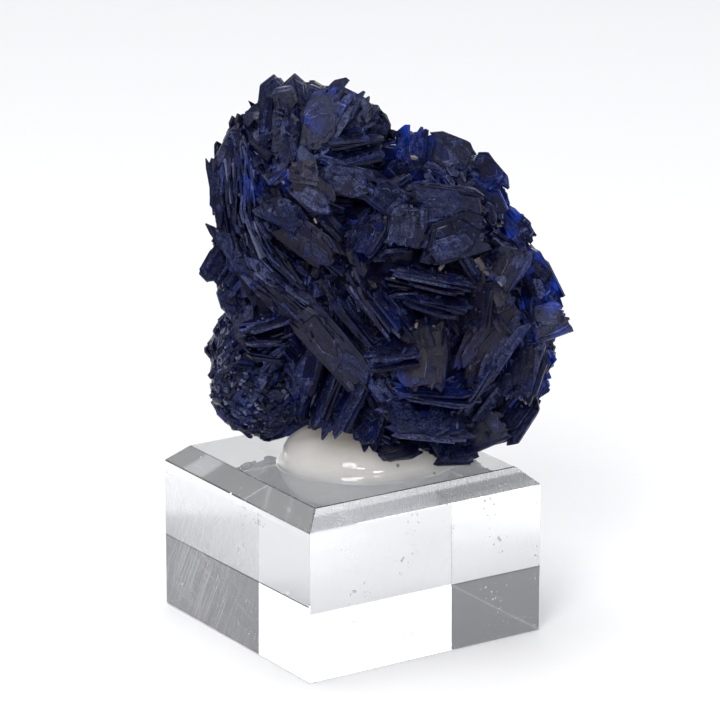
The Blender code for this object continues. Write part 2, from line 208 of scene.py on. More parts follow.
# Hollows between the crystals on the display side: across, up, radius and depth
HOLLOWS = (
    (0.4, 50.0, 2.2, 2.2),
    (10.4, 43.2, 2.2, 2.2),
    (1.5, 43.4, 2.2, 1.9),
    (-6.8, 42.8, 2.6, 1.4),
    (6.9, 37.5, 1.8, 2.2),
    (14.0, 35.7, 1.8, 2.4),
    (14.0, 32.0, 1.6, 2.2),
    (3.9, 33.9, 1.6, 2.2),
    (-3.8, 30.0, 1.8, 2.4),
    (0.6, 26.4, 1.8, 2.4),
    (13.4, 24.5, 1.8, 2.2),
    (16.2, 46.4, 2.0, 1.9),
    (-11.5, 35.7, 1.8, 1.6),
    (-8.4, 26.6, 1.6, 1.6),
)

# Pale specks of other minerals caught between the crystals, some of them pale chips that stand for painted
# glints: across, up, length
SPECKS_AND_GLINTS = (
    (13.1, 43.0, 0.9),
    (14.9, 44.9, 0.8),
    (13.4, 41.2, 1.1),
    (14.9, 41.5, 1.7),
    (10.6, 41.0, 1.0),
    (15.6, 40.4, 0.9),
    (20.0, 26.1, 1.0),
    (19.7, 25.4, 0.8),
    (9.9, 37.6, 0.7),
    (11.8, 36.8, 0.9),
    (7.8, 34.5, 0.7),
    (-4.3, 47.2, 0.8),
    (-10.2, 58.1, 0.8),
    (-7.9, 51.6, 0.7),
    (18.9, 43.0, 0.6),
    (7.5, 53.7, 0.9),
    (7.2, 48.3, 0.7),
    (4.4, 47.2, 0.6),
    (-14.6, 24.2, 0.5),
    (17.2, 39.2, 0.8),
    (-9.9, 35.4, 0.5),
    (5.2, 39.8, 0.6),
)

# Shapes of a crystal's face: the planes that cut it out of a slab one unit long and wide, as the compass
# direction in degrees that each faces, its distance from the middle and its lean
CUTS = {
    "square": ((12, 0.47, 0.1), (100, 0.46, 0.0), (191, 0.48, -0.1), (279, 0.47, 0.1), (50, 0.60, 0.0)),
    "shield": ((6, 0.47, 0.2), (78, 0.47, 0.1), (138, 0.52, -0.1), (196, 0.48, 0.1), (284, 0.46, 0.1)),
    "oval": (
        (0, 0.48, 0.1), (38, 0.50, 0.2), (66, 0.47, 0.3), (96, 0.44, 0.1), (140, 0.52, 0.2),
        (178, 0.49, 0.0), (222, 0.50, 0.1), (262, 0.45, 0.2), (318, 0.51, 0.1),
    ),
    "lath": (
        (14, 0.49, 0.0), (56, 0.58, 0.1), (92, 0.47, 0.0),
        (168, 0.49, 0.1), (214, 0.60, 0.1), (267, 0.48, 0.0),
    ),
    "wedge": (
        (28, 0.47, 0.2), (92, 0.45, 0.0), (155, 0.47, 0.1),
        (203, 0.50, 0.1), (262, 0.45, 0.0), (322, 0.50, 0.2),
    ),
    "spear": ((34, 0.32, 0.1), (-32, 0.34, 0.0), (180, 0.48, 0.1), (92, 0.42, 0.0), (270, 0.44, 0.1)),
    "chip": ((20, 0.44, 0.3), (150, 0.46, -0.2), (250, 0.44, 0.2)),
}
SHAPES = ("square", "shield", "oval", "lath", "wedge", "spear")
# Growth terraces on a broad crystal: the side, how far in, how high and how far aside, as shares of its size
TERRACES = ((1, 0.06, 0.22, 0.03), (1, 0.09, 0.16, -0.04), (-1, 0.09, 0.16, 0.02))


def per_lobe(*values):
    """A value for each lobe by its name: one for all, or one each in the order of LOBES."""
    return dict(zip((lobe.name for lobe in LOBES), cycle(values)))


# The covering crystals, in three sizes. For each lobe: how many are tried, how long they are and how far they
# stand out. For all: width as a share of length, thickness, leaves to a crystal, how far they stray from
# their rosette in degrees, how much painted blue glow they may have and the palest tone
Cover = namedtuple("Cover", "counts lengths reach aspect thickness leaves spread base_blue most_tone")
BLADES = Cover(
    per_lobe(420, 130, 260, 460, 90, 170, 380),
    per_lobe(3.0, 3.6, 3.8, 4.2, 2.2, 2.6, 3.6),
    per_lobe(0.5, 0.8, 1.0, 1.0, 0.3, 0.4, 0.9),
    aspect=0.55, thickness=0.42, leaves=3, spread=11.0, base_blue=0.25, most_tone=0.98,
)
SMALL = Cover(
    per_lobe(900, 300, 560, 900, 260, 1100, 700),
    per_lobe(1.9),
    per_lobe(0.2, 0.3, 0.4, 0.4, 0.3, 0.3, 0.3),
    aspect=0.55, thickness=0.28, leaves=2, spread=30.0, base_blue=0.35, most_tone=0.97,
)
GRAINS = Cover(
    per_lobe(2200, 700, 1200, 2200, 1400, 6200, 1800),
    per_lobe(0.9),
    per_lobe(-0.2, -0.3, -0.3, -0.3, 0.25, 0.35, -0.2),
    aspect=0.6, thickness=0.26, leaves=1, spread=75.0, base_blue=0.35, most_tone=1.07,
)
# How many rosettes a lobe has about, and how far their blades' edges wander from its line, in degrees
ROSETTES = per_lobe(9, 3, 6, 10, 4, 6, 8)
WANDER = per_lobe(20.0, 34.0, 34.0, 34.0, 34.0, 26.0, 16.0)
# Covering crystals keep clear of a plate's face: by the margin outside its rim, which lets them over the rim
# where it is below zero, and up to the cover's height, in millimetres
PLATE_MARGIN = -0.9
PLATE_COVER = 2.5
# The plates of the back: how many are tried on each lobe, how squarely they face away from the eye, and the
# lowest of their middles
BACK_SEED = 5
BACK_PLATES = per_lobe(40, 16, 34, 50, 12, 20, 36)
BACK_FACING = 0.7
BACK_LOWEST = BLOCK_TOP + 4.0
# Small crystals that lie on each main plate, and thin crystals grown flat on a broad one
CRUMBS = 18
OVERLAYS = 3
# The lowest that a crystal reaches, a little clear of the block
LOWEST = BLOCK_TOP + 0.35

# The dark core: how far it lies under the lobes, and its tone, share of painted blue glow, brownness and
# paleness
CORE_SUNK = 0.7
CORE_TINT = (0.1, 0.05, 0.1, 0.0)

# The share of greyish film on a crystal by its tone; the heavier film of the palest tones stands for a
# painted sheen
FILM_AND_SHEEN_BY_TONE = ((0.1, 0.02), (0.6, 0.11), (0.8, 0.24), (0.93, 0.5), (1.0, 0.65))

# Scratches on the acrylic: the turn of each direction and the width drawn, then their length, in metres
SCRATCHES = ((1.05, 0.00022), (-0.35, 0.0003), (1.3, 0.00026))
SCRATCH_LENGTH = 0.011
# Where the block was handled most and where it is chipped, on the map of its faces
HANDLED_AT = (-0.108, 0.004)
CHIPPED_AT = (0.1125, 0.0075)

# The block's bevel, in and down, and how far apart its sides lie on their map, in metres
BEVEL_IN = 2.2 * MM
BEVEL_DOWN = 2.0 * MM
SIDES_APART = 0.1

# The bead of glue: its middle on the block, half its width and depth, its height, and the height of its thin
# skirt and the share of the way out where that begins
GLUE_AT = (1.5, -2.4, BLOCK_TOP)
GLUE_HALF_WIDTH = 10.5
GLUE_HALF_DEPTH = 8.5
GLUE_HEIGHT = 4.6
SKIRT_HEIGHT = 0.32
SKIRT_FROM = 0.965
MILK = {"Subsurface_Weight": 1.0, "Subsurface_Scale": 0.012, "Subsurface_Radius": (1.0, 0.95, 0.9)}

# The studio's light, linear: the room by height from the floor up, the wall, and the white backdrop
ROOM_LIGHT = (
    (0.0, (0.42, 0.41, 0.42, 1.0)),
    (0.29, (0.30, 0.30, 0.32, 1.0)),
    (0.5, (0.07, 0.07, 0.075, 1.0)),
)
WALL_LIGHT = (0.32, 0.33, 0.37, 1.0)
BACKDROP_LIGHT = (1.95, 1.95, 1.95, 1.0)
# Lamps: name, place, width and height in metres, and power in watts
LAMPS = (
    ("top_softbox", (-0.08, 0.0, 1.1), 0.8, 0.8, 8.2),
    ("left_softbox", (-0.75, -0.55, 0.85), 0.35, 0.35, 4.0),
    ("front_strip", (-0.62, -0.72, 0.62), 0.30, 0.025, 2.0),
    ("low_strip", (-0.25, -0.95, 0.42), 0.22, 0.02, 1.2),
)


def linear(code):
    """An sRGB hex colour as linear red, green, blue and full alpha."""
    parts = [int(code[i : i + 2], 16) / 255.0 for i in (1, 3, 5)]
    return tuple(p / 12.92 if p <= 0.04045 else ((p + 0.055) / 1.055) ** 2.4 for p in parts) + (1.0,)


# The specimen's own frame


def unit(vectors):
    """Vectors at a length of 1."""
    vectors = np.asarray(vectors, float)
    return vectors / np.maximum(np.linalg.norm(vectors, axis=-1, keepdims=True), 1e-9)


def lobe_depth(points, lobe):
    """How far out points are in a lobe: 0 at its centre, 1 on its surface."""
    return np.linalg.norm((points - np.array(lobe.centre)) / np.array(lobe.radii), axis=-1)


def seen_point(across_mm, up_mm):
    """Where the eye's line through a place on the display side meets a lobe, and the way out of it there."""
    eye = np.array(EYE)
    sight = unit(ACROSS * across_mm + UP * up_mm - eye)
    best = None
    for lobe in LOBES:
        centre, radii = np.array(lobe.centre), np.array(lobe.radii)
        offset, step = (eye - centre) / radii, sight / radii
        a, b, c = step @ step, offset @ step, offset @ offset - 1.0
        root = b * b - a * c
        along = (-b - math.sqrt(max(root, 0.0))) / a
        point = eye + sight * along
        miss = float(lobe_depth(point, lobe)) if root < 0.0 else 1.0
        if best is None or (miss, along) < best[0]:
            best = ((miss, along), centre + (point - centre) / miss, unit((point - centre) / radii**2))
    return best[1], best[2]


def axes_of(normals, long_axes):
    """Rotation matrices with the length along long_axes and the thickness along normals."""
    n = unit(normals)
    x = unit(long_axes - n * np.sum(long_axes * n, axis=-1, keepdims=True))
    return np.stack((x, np.cross(n, x), n), axis=-1)


def tilted_axes(roll, opened):
    """Axes of a crystal by the roll of its long axis in the display view and how far its face is opened."""
    roll, opened = math.radians(roll), math.radians(opened)
    long_axis = ACROSS * math.cos(roll) + UP * math.sin(roll)
    aside = UP * math.cos(roll) - ACROSS * math.sin(roll)
    return axes_of(aside * math.cos(opened) - AWAY * math.sin(opened), long_axis)


def turned(axes, random, lean, spin):
    """Axes turned by small random angles: lean about the two flat axes, spin about the normal."""
    a, b = math.radians(random.uniform(-lean, lean)), math.radians(random.uniform(-lean, lean))
    c = math.radians(random.uniform(-spin, spin))
    small = Matrix.Rotation(a, 3, "X") @ Matrix.Rotation(b, 3, "Y") @ Matrix.Rotation(c, 3, "Z")
    return axes @ np.array(small)


def to_row_frame(points):
    """Millimetres in the specimen's frame to metres in the row frame."""
    turn = math.radians(DISPLAY_TURN)
    rows = ((math.cos(turn), math.sin(turn), 0), (-math.sin(turn), math.cos(turn), 0), (0, 0, 1))
    return points @ np.array(rows) * MM


# Crystals, and meshes of many of them


def select(obj, kind, wanted):
    """Selects the faces or the edges in edit mode that the test wants, and no others."""
    edit = bmesh.from_edit_mesh(obj.data)
    for part in getattr(edit, kind):
        part.select = wanted(part)
    edit.select_flush_mode()
    bmesh.update_edit_mesh(obj.data)


def crystal(shape, terraces, rim):
    """A unit crystal as arrays: a slab cut by its outline's planes, with bevelled rims and terraces. The slab
    starts a little oversize, so that the planes cut all its sides."""
    bpy.ops.object.select_all(action="DESELECT")
    bpy.ops.mesh.primitive_cube_add(size=1.0)
    obj = bpy.context.object
    bpy.ops.object.mode_set(mode="EDIT")
    bpy.ops.transform.resize(value=(1.1, 1.1, 1.0))
    for compass, distance, lean in CUTS[shape]:
        angle = math.radians(compass)
        plane = Vector((math.cos(angle), math.sin(angle), lean * 0.3))
        cut = {"plane_co": plane.normalized() * distance, "plane_no": plane}
        bpy.ops.mesh.select_all(action="SELECT")
        bpy.ops.mesh.bisect(use_fill=True, clear_outer=True, **cut)
    if rim:
        select(obj, "edges", lambda edge: abs(edge.verts[0].co.z - edge.verts[1].co.z) < 0.05)
        bpy.ops.mesh.bevel(offset=rim, segments=1, affect="EDGES")
    for side, share, lift, shift in terraces:
        outer = max(face.calc_center_median().z * side for face in bmesh.from_edit_mesh(obj.data).faces)
        select(obj, "faces", lambda face: face.calc_center_median().z * side > outer - 1e-4)
        bpy.ops.mesh.inset(thickness=share, depth=0.0)
        bpy.ops.mesh.inset(thickness=0.012, depth=lift)
        bpy.ops.transform.translate(value=(shift, -shift * 0.6, 0.0))
    bpy.ops.object.mode_set(mode="OBJECT")
    mesh = obj.data
    points = np.array([v.co for v in mesh.vertices], float)
    faces = [tuple(p.vertices) for p in mesh.polygons]
    slopes = np.array([abs(p.normal.z) for p in mesh.polygons])
    bpy.data.objects.remove(obj)
    return {
        "points": points,
        "loops": np.array([i for f in faces for i in f], np.int32),
        "totals": np.array([len(f) for f in faces], np.int32),
        # Rim wear and painted edge highlight, on the bevelled sides
        "rims": np.where(slopes > 0.35, 1.0, 0.6) * ((slopes > 0.12) & (slopes < 0.95)),
    }


def broad_crystals():
    """Crystals with growth terraces, for the main plates."""
    return {shape: crystal(shape, TERRACES, 0.03) for shape in SHAPES}


def plain_crystals():
    """Crystals with only a bevelled rim, for blades and small crystals."""
    return {shape: crystal(shape, (), 0.05) for shape in SHAPES}


def chips():
    """The plainest crystal, for the finest grains."""
    return {"chip": crystal("chip", (), 0.0)}


def set_attribute(mesh, name, kind, domain, values):
    """Stores values with the mesh, for its material to read."""
    field = {"FLOAT_VECTOR": "vector", "FLOAT_COLOR": "color", "FLOAT": "value"}[kind]
    mesh.attributes.new(name, kind, domain).data.foreach_set(field, np.asarray(values, np.float32).ravel())


class Growth:
    """Crystals placed in the specimen's frame, gathered for one mesh."""

    def __init__(self, kinds, random):
        self.kinds = kinds
        self.names = [name for name in kinds if name != "oval"]
        self.random = random
        self.batches = []

    def add(self, kind, axes, centres, sizes, tints):
        """kind is a name or one for each. axes (n, 3, 3), centres and sizes (n, 3), tints (n, 4)."""
        kind = np.broadcast_to(kind, len(centres))
        for name in self.kinds:
            chosen = kind == name
            if chosen.any():
                self.batches.append((name, axes[chosen], centres[chosen], sizes[chosen], tints[chosen]))

    def add_one(self, kind, axes, centre, size, base_blue, most_tone=1.0):
        """One crystal, with a tint of its own."""
        tint = tint_of(centre[None], self.random, base_blue, most_tone)
        self.add(kind, axes[None], centre[None], np.array([size]), tint)

    def build(self, name):
        """One mesh object of all the crystals, with the attributes that the material reads."""
        points, lies, faces, tints, loops, totals, rims = [], [], [], [], [], [], []
        count = 0
        for kind, axes, centres, sizes, tint in self.batches:
            proto = self.kinds[kind]
            local = proto["points"][None] * sizes[:, None]
            placed = np.einsum("nij,nkj->nki", axes, local) + centres[:, None]
            n, k = placed.shape[:2]
            points.append(placed.reshape(-1, 3))
            lies.append((local + self.random.uniform(0, 40.0, (n, 1, 3))).reshape(-1, 3))
            faces.append(np.broadcast_to(proto["points"][None, :, :2] * 2.0, (n, k, 2)).reshape(-1, 2))
            tints.append(np.repeat(tint, k, axis=0))
            loops.append((proto["loops"][None] + count + np.arange(n)[:, None] * k).reshape(-1))
            totals.append(np.tile(proto["totals"], n))
            rims.append(np.tile(proto["rims"], n))
            count += n * k
        points, lies, faces, tints = (np.concatenate(a) for a in (points, lies, faces, tints))
        # Crystals in the glow spots get at least this share of painted blue glow
        tints[:, 1] = np.maximum(tints[:, 1], 0.65 * spot_strength(points, GLOW_SPOTS)).clip(0.0, 1.0)
        loops, totals = np.concatenate(loops).astype(np.int32), np.concatenate(totals).astype(np.int32)
        mesh = bpy.data.meshes.new(name)
        mesh.vertices.add(len(points))
        mesh.loops.add(len(loops))
        mesh.polygons.add(len(totals))
        mesh.vertices.foreach_set("co", to_row_frame(points).astype(np.float32).ravel())
        mesh.loops.foreach_set("vertex_index", loops)
        starts = np.concatenate(([0], np.cumsum(totals)[:-1])).astype(np.int32)
        mesh.polygons.foreach_set("loop_start", starts)
        mesh.polygons.foreach_set("use_smooth", np.zeros(len(totals), bool))
        mesh.update(calc_edges=True)
        set_attribute(mesh, "lie", "FLOAT_VECTOR", "POINT", lies)
        set_attribute(mesh, "across_face", "FLOAT_VECTOR", "POINT", np.pad(faces, ((0, 0), (0, 1))))
        set_attribute(mesh, "growth", "FLOAT_COLOR", "POINT", tints)
        set_attribute(mesh, "worn_rim", "FLOAT", "FACE", np.concatenate(rims))
        obj = bpy.data.objects.new(name, mesh)
        bpy.context.scene.collection.objects.link(obj)
        finish_piece(obj, "azurite", "azurite_cluster", mounted("azurite_as_grown", azurite_material))


def finish_piece(obj, slot, node_name, *materials):
    """Gives a piece its materials; the slot is not used. It rides on the one body and stands for its CAD
    node.
    """
    obj.data.materials.clear()
    for material in materials:
        obj.data.materials.append(material)
    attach(obj, "root")
    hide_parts(node_name)


# Where the crystals grow


def spot_strength(points, spots):
    """How strongly each point is coloured by spots on the display side."""
    strength = np.zeros(len(points))
    for a, u, radius, most in spots:
        middle, _ = seen_point(a, u)
        away = np.linalg.norm(points - middle, axis=1)
        strength = np.maximum(strength, most * np.clip(1.6 - away / radius, 0.0, 1.0))
    return strength


def tint_of(points, random, base_blue, most_tone=1.0):
    """Tone, share of painted blue glow, brownness and paleness of crystals at points."""
    n = len(points)
    tone = random.uniform(0.0, most_tone, n)
    blue = spot_strength(points, GLOW_SPOTS) * random.uniform(0.4, 1.1, n)
    blue += base_blue * random.uniform(0, 1, n) ** 3
    brown = spot_strength(points, BROWN_SPOTS) * random.uniform(0.5, 1.1, n)
    brown += 0.25 * random.uniform(0, 1, n) ** 6
    return np.stack((tone, np.clip(blue, 0, 1), np.clip(brown, 0, 1), np.zeros(n)), axis=1)


def plate_layout():
    """Each main plate's axes, middle, size and shape."""
    layout = []
    for a, u, roll, opened, length, width, thickness, shape in PLATES:
        point, out = seen_point(a, u)
        axes = tilted_axes(roll, opened)
        if axes[:, 2] @ out < 0.0:
            axes[:, 1:] *= -1.0
        layout.append((axes, point + out * PLATE_LIFT, np.array((length, width, thickness)), shape))
    return layout


def back_layout():
    """Main plates of the sides and the back, spread over the lobes, as plate_layout gives them."""
    random = np.random.RandomState(BACK_SEED)
    layout = []
    for lobe in LOBES:
        points, out = surface_samples(lobe, BACK_PLATES[lobe.name], random)
        first, second = tangents(out, lobe.grain)
        for point, n, a, b in zip(points, out, first, second):
            turn, opened = random.normal(0.0, 0.6), random.uniform(0.35, 1.4)
            shape = ("wedge", "shield", "wedge", "lath")[random.randint(4)]
            size = np.array((random.uniform(4.0, 8.0), random.uniform(3.0, 4.6), random.uniform(0.9, 1.5)))
            if n @ AWAY < BACK_FACING or point[2] < BACK_LOWEST:
                continue
            edge = a * math.cos(turn) + b * math.sin(turn)
            axes = axes_of(np.cross(n, edge) * math.cos(opened) + n * math.sin(opened), edge)
            layout.append((axes, point - n * 0.2, size, shape))
    return layout


def grow_bundle(growth, axes, middle, size, strips):
    """One leaf as parallel laths of uneven length and height, so that its ends and rims are stepped."""
    random = growth.random
    edges = np.linspace(-0.5, 0.5, strips + 1)
    edges[1:-1] += random.uniform(-0.25, 0.25, strips - 1) / strips
    place = (edges[1:] + edges[:-1]) / 2
    share = np.diff(edges) * 1.12
    reach = np.sqrt(1.0 - 1.5 * place**2) * random.uniform(0.72, 1.06, strips)
    slide = random.uniform(-0.09, 0.09, strips) * size[0]
    lift = random.uniform(-0.22, 0.22, strips) * size[2]
    offsets = np.stack((slide, place * size[1], lift), axis=1)
    centres = middle + offsets @ axes.T
    own = np.array([turned(axes, random, 3.5, 2.0) for _ in range(strips)])
    sizes = np.stack((reach * size[0], share * size[1], size[2] * random.uniform(0.75, 1.15, strips)), axis=1)
    kinds = np.array(("lath", "wedge"))[random.randint(2, size=strips)]
    growth.add(kinds, own, centres, sizes, tint_of(centres, random, 0.15, 0.93))


def grow_plates(growth, layout):
    """Each main plate as a book of leaves. A broad plate's outer leaf is whole, the others are bundles."""
    random = growth.random
    for plate_axes, middle, size, shape in layout:
        leaves = 3 + int(size[2] > 1.15)
        thickness = size[2] / leaves
        for leaf in range(leaves):
            own = turned(plate_axes, random, 1.0 + 1.6 * leaf, 3.0 * leaf)
            slide = random.uniform(-0.06, 0.06, 2) * size[:2] * leaf
            place = middle + plate_axes @ np.array((*slide, size[2] / 2 - thickness * (leaf + 0.5)))
            whole = shape == "spear" or (leaf == 0 and shape != "lath")
            if whole:
                growth.add_one(shape, own, place, (size[0] * 0.9, size[1] * 0.88, thickness * 1.1), 0.15, 0.9)
            if shape == "spear":
                continue
            grown = size[:2] * random.uniform(0.9, 1.06, 2)
            strips = max(2, int(round(size[1] / random.uniform(0.9, 1.5))))
            low = place - plate_axes[:, 2] * thickness * (0.35 if whole else 0.0)
            grow_bundle(growth, own, low, (grown[0], grown[1], thickness), strips)
        for _ in range({"lath": 1, "spear": 0}.get(shape, OVERLAYS)):
            share = random.uniform(0.28, 0.62, 2)
            spot = random.uniform(-0.5, 0.5, 2) * (1.0 - share) * size[:2]
            thin = random.uniform(0.14, 0.3)
            own = turned(plate_axes, random, 2.5, 14.0)
            place = middle + plate_axes @ np.array((*spot, size[2] / 2 + thin * 0.2))
            kind = growth.names[random.randint(len(growth.names))]
            growth.add_one(kind, own, place, (*(share * size[:2]), thin), 0.15, 0.9)


def grow_leaf(growth, across_mm, up_mm, roll, opened, size, lift):
    """One thin blade where it shows on the display side."""
    point, out = seen_point(across_mm, up_mm)
    kind = ("lath", "wedge", "spear")[growth.random.randint(3)]
    growth.add_one(kind, tilted_axes(roll, opened), point + out * (lift - size[1] * 0.3), size, 0.2)


def grow_ribs(growth):
    """The chains of thin blades, in three rows side by side that overlap along the chain."""
    random = growth.random
    for chain in RIBS:
        chain = np.array(chain)
        steps = np.linspace(0.0, len(chain) - 1.0, int(len(chain) * 4.5))
        for row in range(3):
            for step in steps + random.uniform(-0.1, 0.1, len(steps)):
                k = min(max(int(step), 0), len(chain) - 2)
                way = chain[k + 1] - chain[k]
                a, u = chain[k] + way * (step - k)
                roll = math.degrees(math.atan2(way[1], way[0])) + random.uniform(-9.0, 9.0)
                shift = (row - 1) * 0.45 + random.uniform(-0.12, 0.12)
                aside = np.array((-way[1], way[0])) / np.linalg.norm(way) * shift
                size = (random.uniform(3.0, 5.2), random.uniform(2.2, 3.2), random.uniform(0.18, 0.34))
                opened = random.uniform(8, 34)
                grow_leaf(growth, a + aside[0], u + aside[1], roll, opened, size, random.uniform(0.5, 1.0))


def grow_fans(growth):
    """The fans of thin blades, opened like a hand of cards."""
    random = growth.random
    for a, u, first, last, count, length in FANS:
        for k in range(count):
            roll = first + (last - first) * k / (count - 1) + random.uniform(-1.5, 1.5)
            reach = length * random.uniform(0.85, 1.1)
            way = math.radians(roll)
            place = (a + reach / 2 * math.cos(way), u - 0.12 * k + reach / 2 * math.sin(way))
            size = (reach, random.uniform(2.4, 3.4), random.uniform(0.2, 0.34))
            opened = random.uniform(8, 26)
            grow_leaf(growth, *place, roll, opened, size, random.uniform(0.6, 1.0))


def grow_crumbs(growth, layout):
    """Small crystals and chips that lie on the main plates, in a ring between the middle and the rim."""
    random = growth.random
    axes, centres, sizes = [], [], []
    for plate_axes, middle, size, shape in layout:
        for way in random.uniform(0.0, math.tau, CRUMBS * (shape != "spear")):
            place = np.array((math.cos(way), math.sin(way))) * random.uniform(0.2, 0.4)
            flat = random.uniform() > 0.4
            axes.append(turned(plate_axes, random, 12.0 if flat else 80.0, 90.0))
            length = random.uniform(0.35, 1.2)
            centres.append(middle + plate_axes @ np.array((*(place * size[:2]), size[2] / 2)))
            sizes.append((length, length * random.uniform(0.4, 0.8), random.uniform(0.15, 0.35)))
    centres = np.array(centres)
    kinds = np.array(growth.names)[random.randint(len(growth.names), size=len(centres))]
    growth.add(kinds, np.array(axes), centres, np.array(sizes), tint_of(centres, random, 0.3, 0.95))


def grow_specks(growth):
    """The pale specks, some of them painted glints, each a small chip that stands a little out of the
    crystals.
    """
    random = growth.random
    axes, centres, sizes = [], [], []
    for a, u, length in SPECKS_AND_GLINTS:
        middle, out = seen_point(a, u)
        axes.append(turned(axes_of(out, np.array((1.0, 0.2, 0.6))), random, 40.0, 90.0))
        centres.append(middle + out * 0.9)
        sizes.append(length * np.array((0.85, random.uniform(0.3, 0.5), random.uniform(0.2, 0.4))))
    tints = tint_of(np.array(centres), random, 0.0)
    tints[:, 3] = random.uniform(0.1, 0.6, len(tints))
    kinds = np.array(("square", "lath"))[random.randint(2, size=len(tints))]
    growth.add(kinds, np.array(axes), np.array(centres), np.array(sizes), tints)


def hollow_depth(points):
    """How deep the hollows between the crystals are at points, in millimetres."""
    depth = np.zeros(len(points))
    for a, u, radius, most in HOLLOWS:
        middle, _ = seen_point(a, u)
        away = np.linalg.norm(points - middle, axis=1)
        depth = np.maximum(depth, most * np.clip(1.5 - away / radius, 0.0, 1.0))
    return depth


def uneven(points):
    """How far the rosettes' ground stands out or in: hollows and humps a few millimetres across."""
    x, y, z = points.T
    wide = np.sin(0.55 * x + 0.31 * z + 1.0) * np.cos(0.47 * z - 0.36 * y) + np.sin(0.62 * y + 0.52 * z + 0.4)
    close = np.sin(1.30 * x - 0.90 * z) * np.cos(1.10 * y + 1.40 * z + 2.0)
    return 0.32 * wide + 0.28 * close - 0.15 - hollow_depth(points)


def surface_samples(lobe, count, random):
    """Points spread over a lobe where it isn't inside another, and the ways out."""
    golden = math.pi * (3.0 - math.sqrt(5.0))
    i = np.arange(count)
    z = 1.0 - (2.0 * i + 1.0) / count
    r = np.sqrt(1.0 - z * z)
    turn = random.uniform(0.0, math.tau)
    directions = np.stack((r * np.cos(golden * i + turn), r * np.sin(golden * i + turn), z), axis=1)
    directions = unit(directions + random.normal(0.0, 0.6 / math.sqrt(count), (count, 3)))
    points = np.array(lobe.centre) + directions * np.array(lobe.radii)
    out = unit(directions / np.array(lobe.radii))
    points = points + out * uneven(points)[:, None]
    free = np.ones(count, bool)
    for other in LOBES:
        if other is not lobe:
            free &= lobe_depth(points, other) > 0.95
    return points[free], out[free]


def tangents(out, grain):
    """Two directions along the surface: the grain's, and the one square to it."""
    grain = np.broadcast_to(np.array(grain, float), out.shape)
    first = unit(grain - out * np.sum(grain * out, axis=1, keepdims=True))
    return first, np.cross(out, first)


def rosettes(points, name, random):
    """Some of a lobe's points, each with the turn of its blades' edges and how far their faces are opened."""
    homes = points[:: max(len(points) // ROSETTES[name], 1)]
    turns = np.radians(random.normal(0.0, WANDER[name], len(homes)))
    opened = np.radians(random.uniform(2.0, 52.0, len(homes)) * np.sign(random.uniform(-1, 1, len(homes))))
    return homes, turns, opened


def covered(points, layout, margin):
    """Which points lie over a main plate's face, or within the margin outside its rim."""
    hidden = np.zeros(len(points), bool)
    for axes, middle, size, _ in layout:
        local = (points - middle) @ axes
        over = (np.abs(local[:, :2]) < size[:2] / 2 + margin).all(axis=1)
        hidden |= over & (local[:, 2] > -size[2]) & (local[:, 2] < PLATE_COVER)
    return hidden


def leant(axes, towards, angles):
    """Directions turned from axes towards others by angles."""
    return axes * np.cos(angles)[:, None] + towards * np.sin(angles)[:, None]


def grow_cover(growth, lobes, cover, further=1.0):
    """Covering crystals on the lobes, in rosettes. They stand out of the surface by about their reach."""
    random = growth.random
    layout = plate_layout() + back_layout()
    for lobe in lobes:
        points, out = surface_samples(lobe, cover.counts[lobe.name], random)
        keep = ~covered(points, layout, PLATE_MARGIN)
        points, out = points[keep], out[keep]
        n = len(points)
        # Crystals beside a plate's rim are sunk, so that the rim shows
        points = points - out * (0.8 * covered(points, layout, 0.6))[:, None]
        first, second = tangents(out, lobe.grain)
        homes, turns, opened = rosettes(points, lobe.name, random)
        home = np.argmin(np.linalg.norm(points[:, None] - homes[None], axis=2), axis=1)
        turn = turns[home] + np.radians(random.normal(0.0, cover.spread, n))
        tilt = opened[home] + np.radians(random.normal(0.0, cover.spread, n))
        edge = leant(first, second, turn)
        normal = leant(np.cross(out, edge), out, tilt)
        edge = leant(edge, out, np.radians(random.normal(0.0, cover.spread, n)))
        axes = axes_of(normal, edge)
        length = cover.lengths[lobe.name] * random.uniform(0.6, 1.35, n)
        width = length * cover.aspect * random.uniform(0.7, 1.25, n)
        thick = cover.thickness * random.uniform(0.6, 1.5, n)
        across = np.abs(np.sum(axes[:, :, 1] * out, axis=1)) * width / 2
        stand = across + np.abs(np.sum(axes[:, :, 0] * out, axis=1)) * length / 2
        reach = cover.reach[lobe.name] * further
        centres = points + out * (reach * random.uniform(0.2, 1.3, n) - stand)[:, None]
        for leaf in range(cover.leaves):
            slide = random.uniform(-0.2, 0.2, (n, 2)) * np.stack((length, width), axis=1) * (leaf > 0)
            moved = centres + axes[:, :, 2] * (thick * 1.02 * leaf)[:, None]
            moved = moved + axes[:, :, 0] * slide[:, :1] + axes[:, :, 1] * slide[:, 1:]
            own = np.array([turned(a, random, 5.0 * min(leaf, 1), 7.0 * min(leaf, 1)) for a in axes])
            grown = random.uniform(0.7, 1.0, (n, 2))
            thin = thick * random.uniform(0.7, 1.2, n)
            size = np.stack((length * grown[:, 0], width * grown[:, 1], thin), axis=1)
            drop = np.sum(np.abs(own[:, 2, :]) * size, axis=1) / 2
            safe = moved[:, 2] - drop * 0.8 > LOWEST
            kinds = np.array(growth.names)[random.randint(len(growth.names), size=n)]
            tints = tint_of(moved, random, cover.base_blue, cover.most_tone)
            growth.add(kinds[safe], own[safe], moved[safe], size[safe], tints[safe])


# Materials


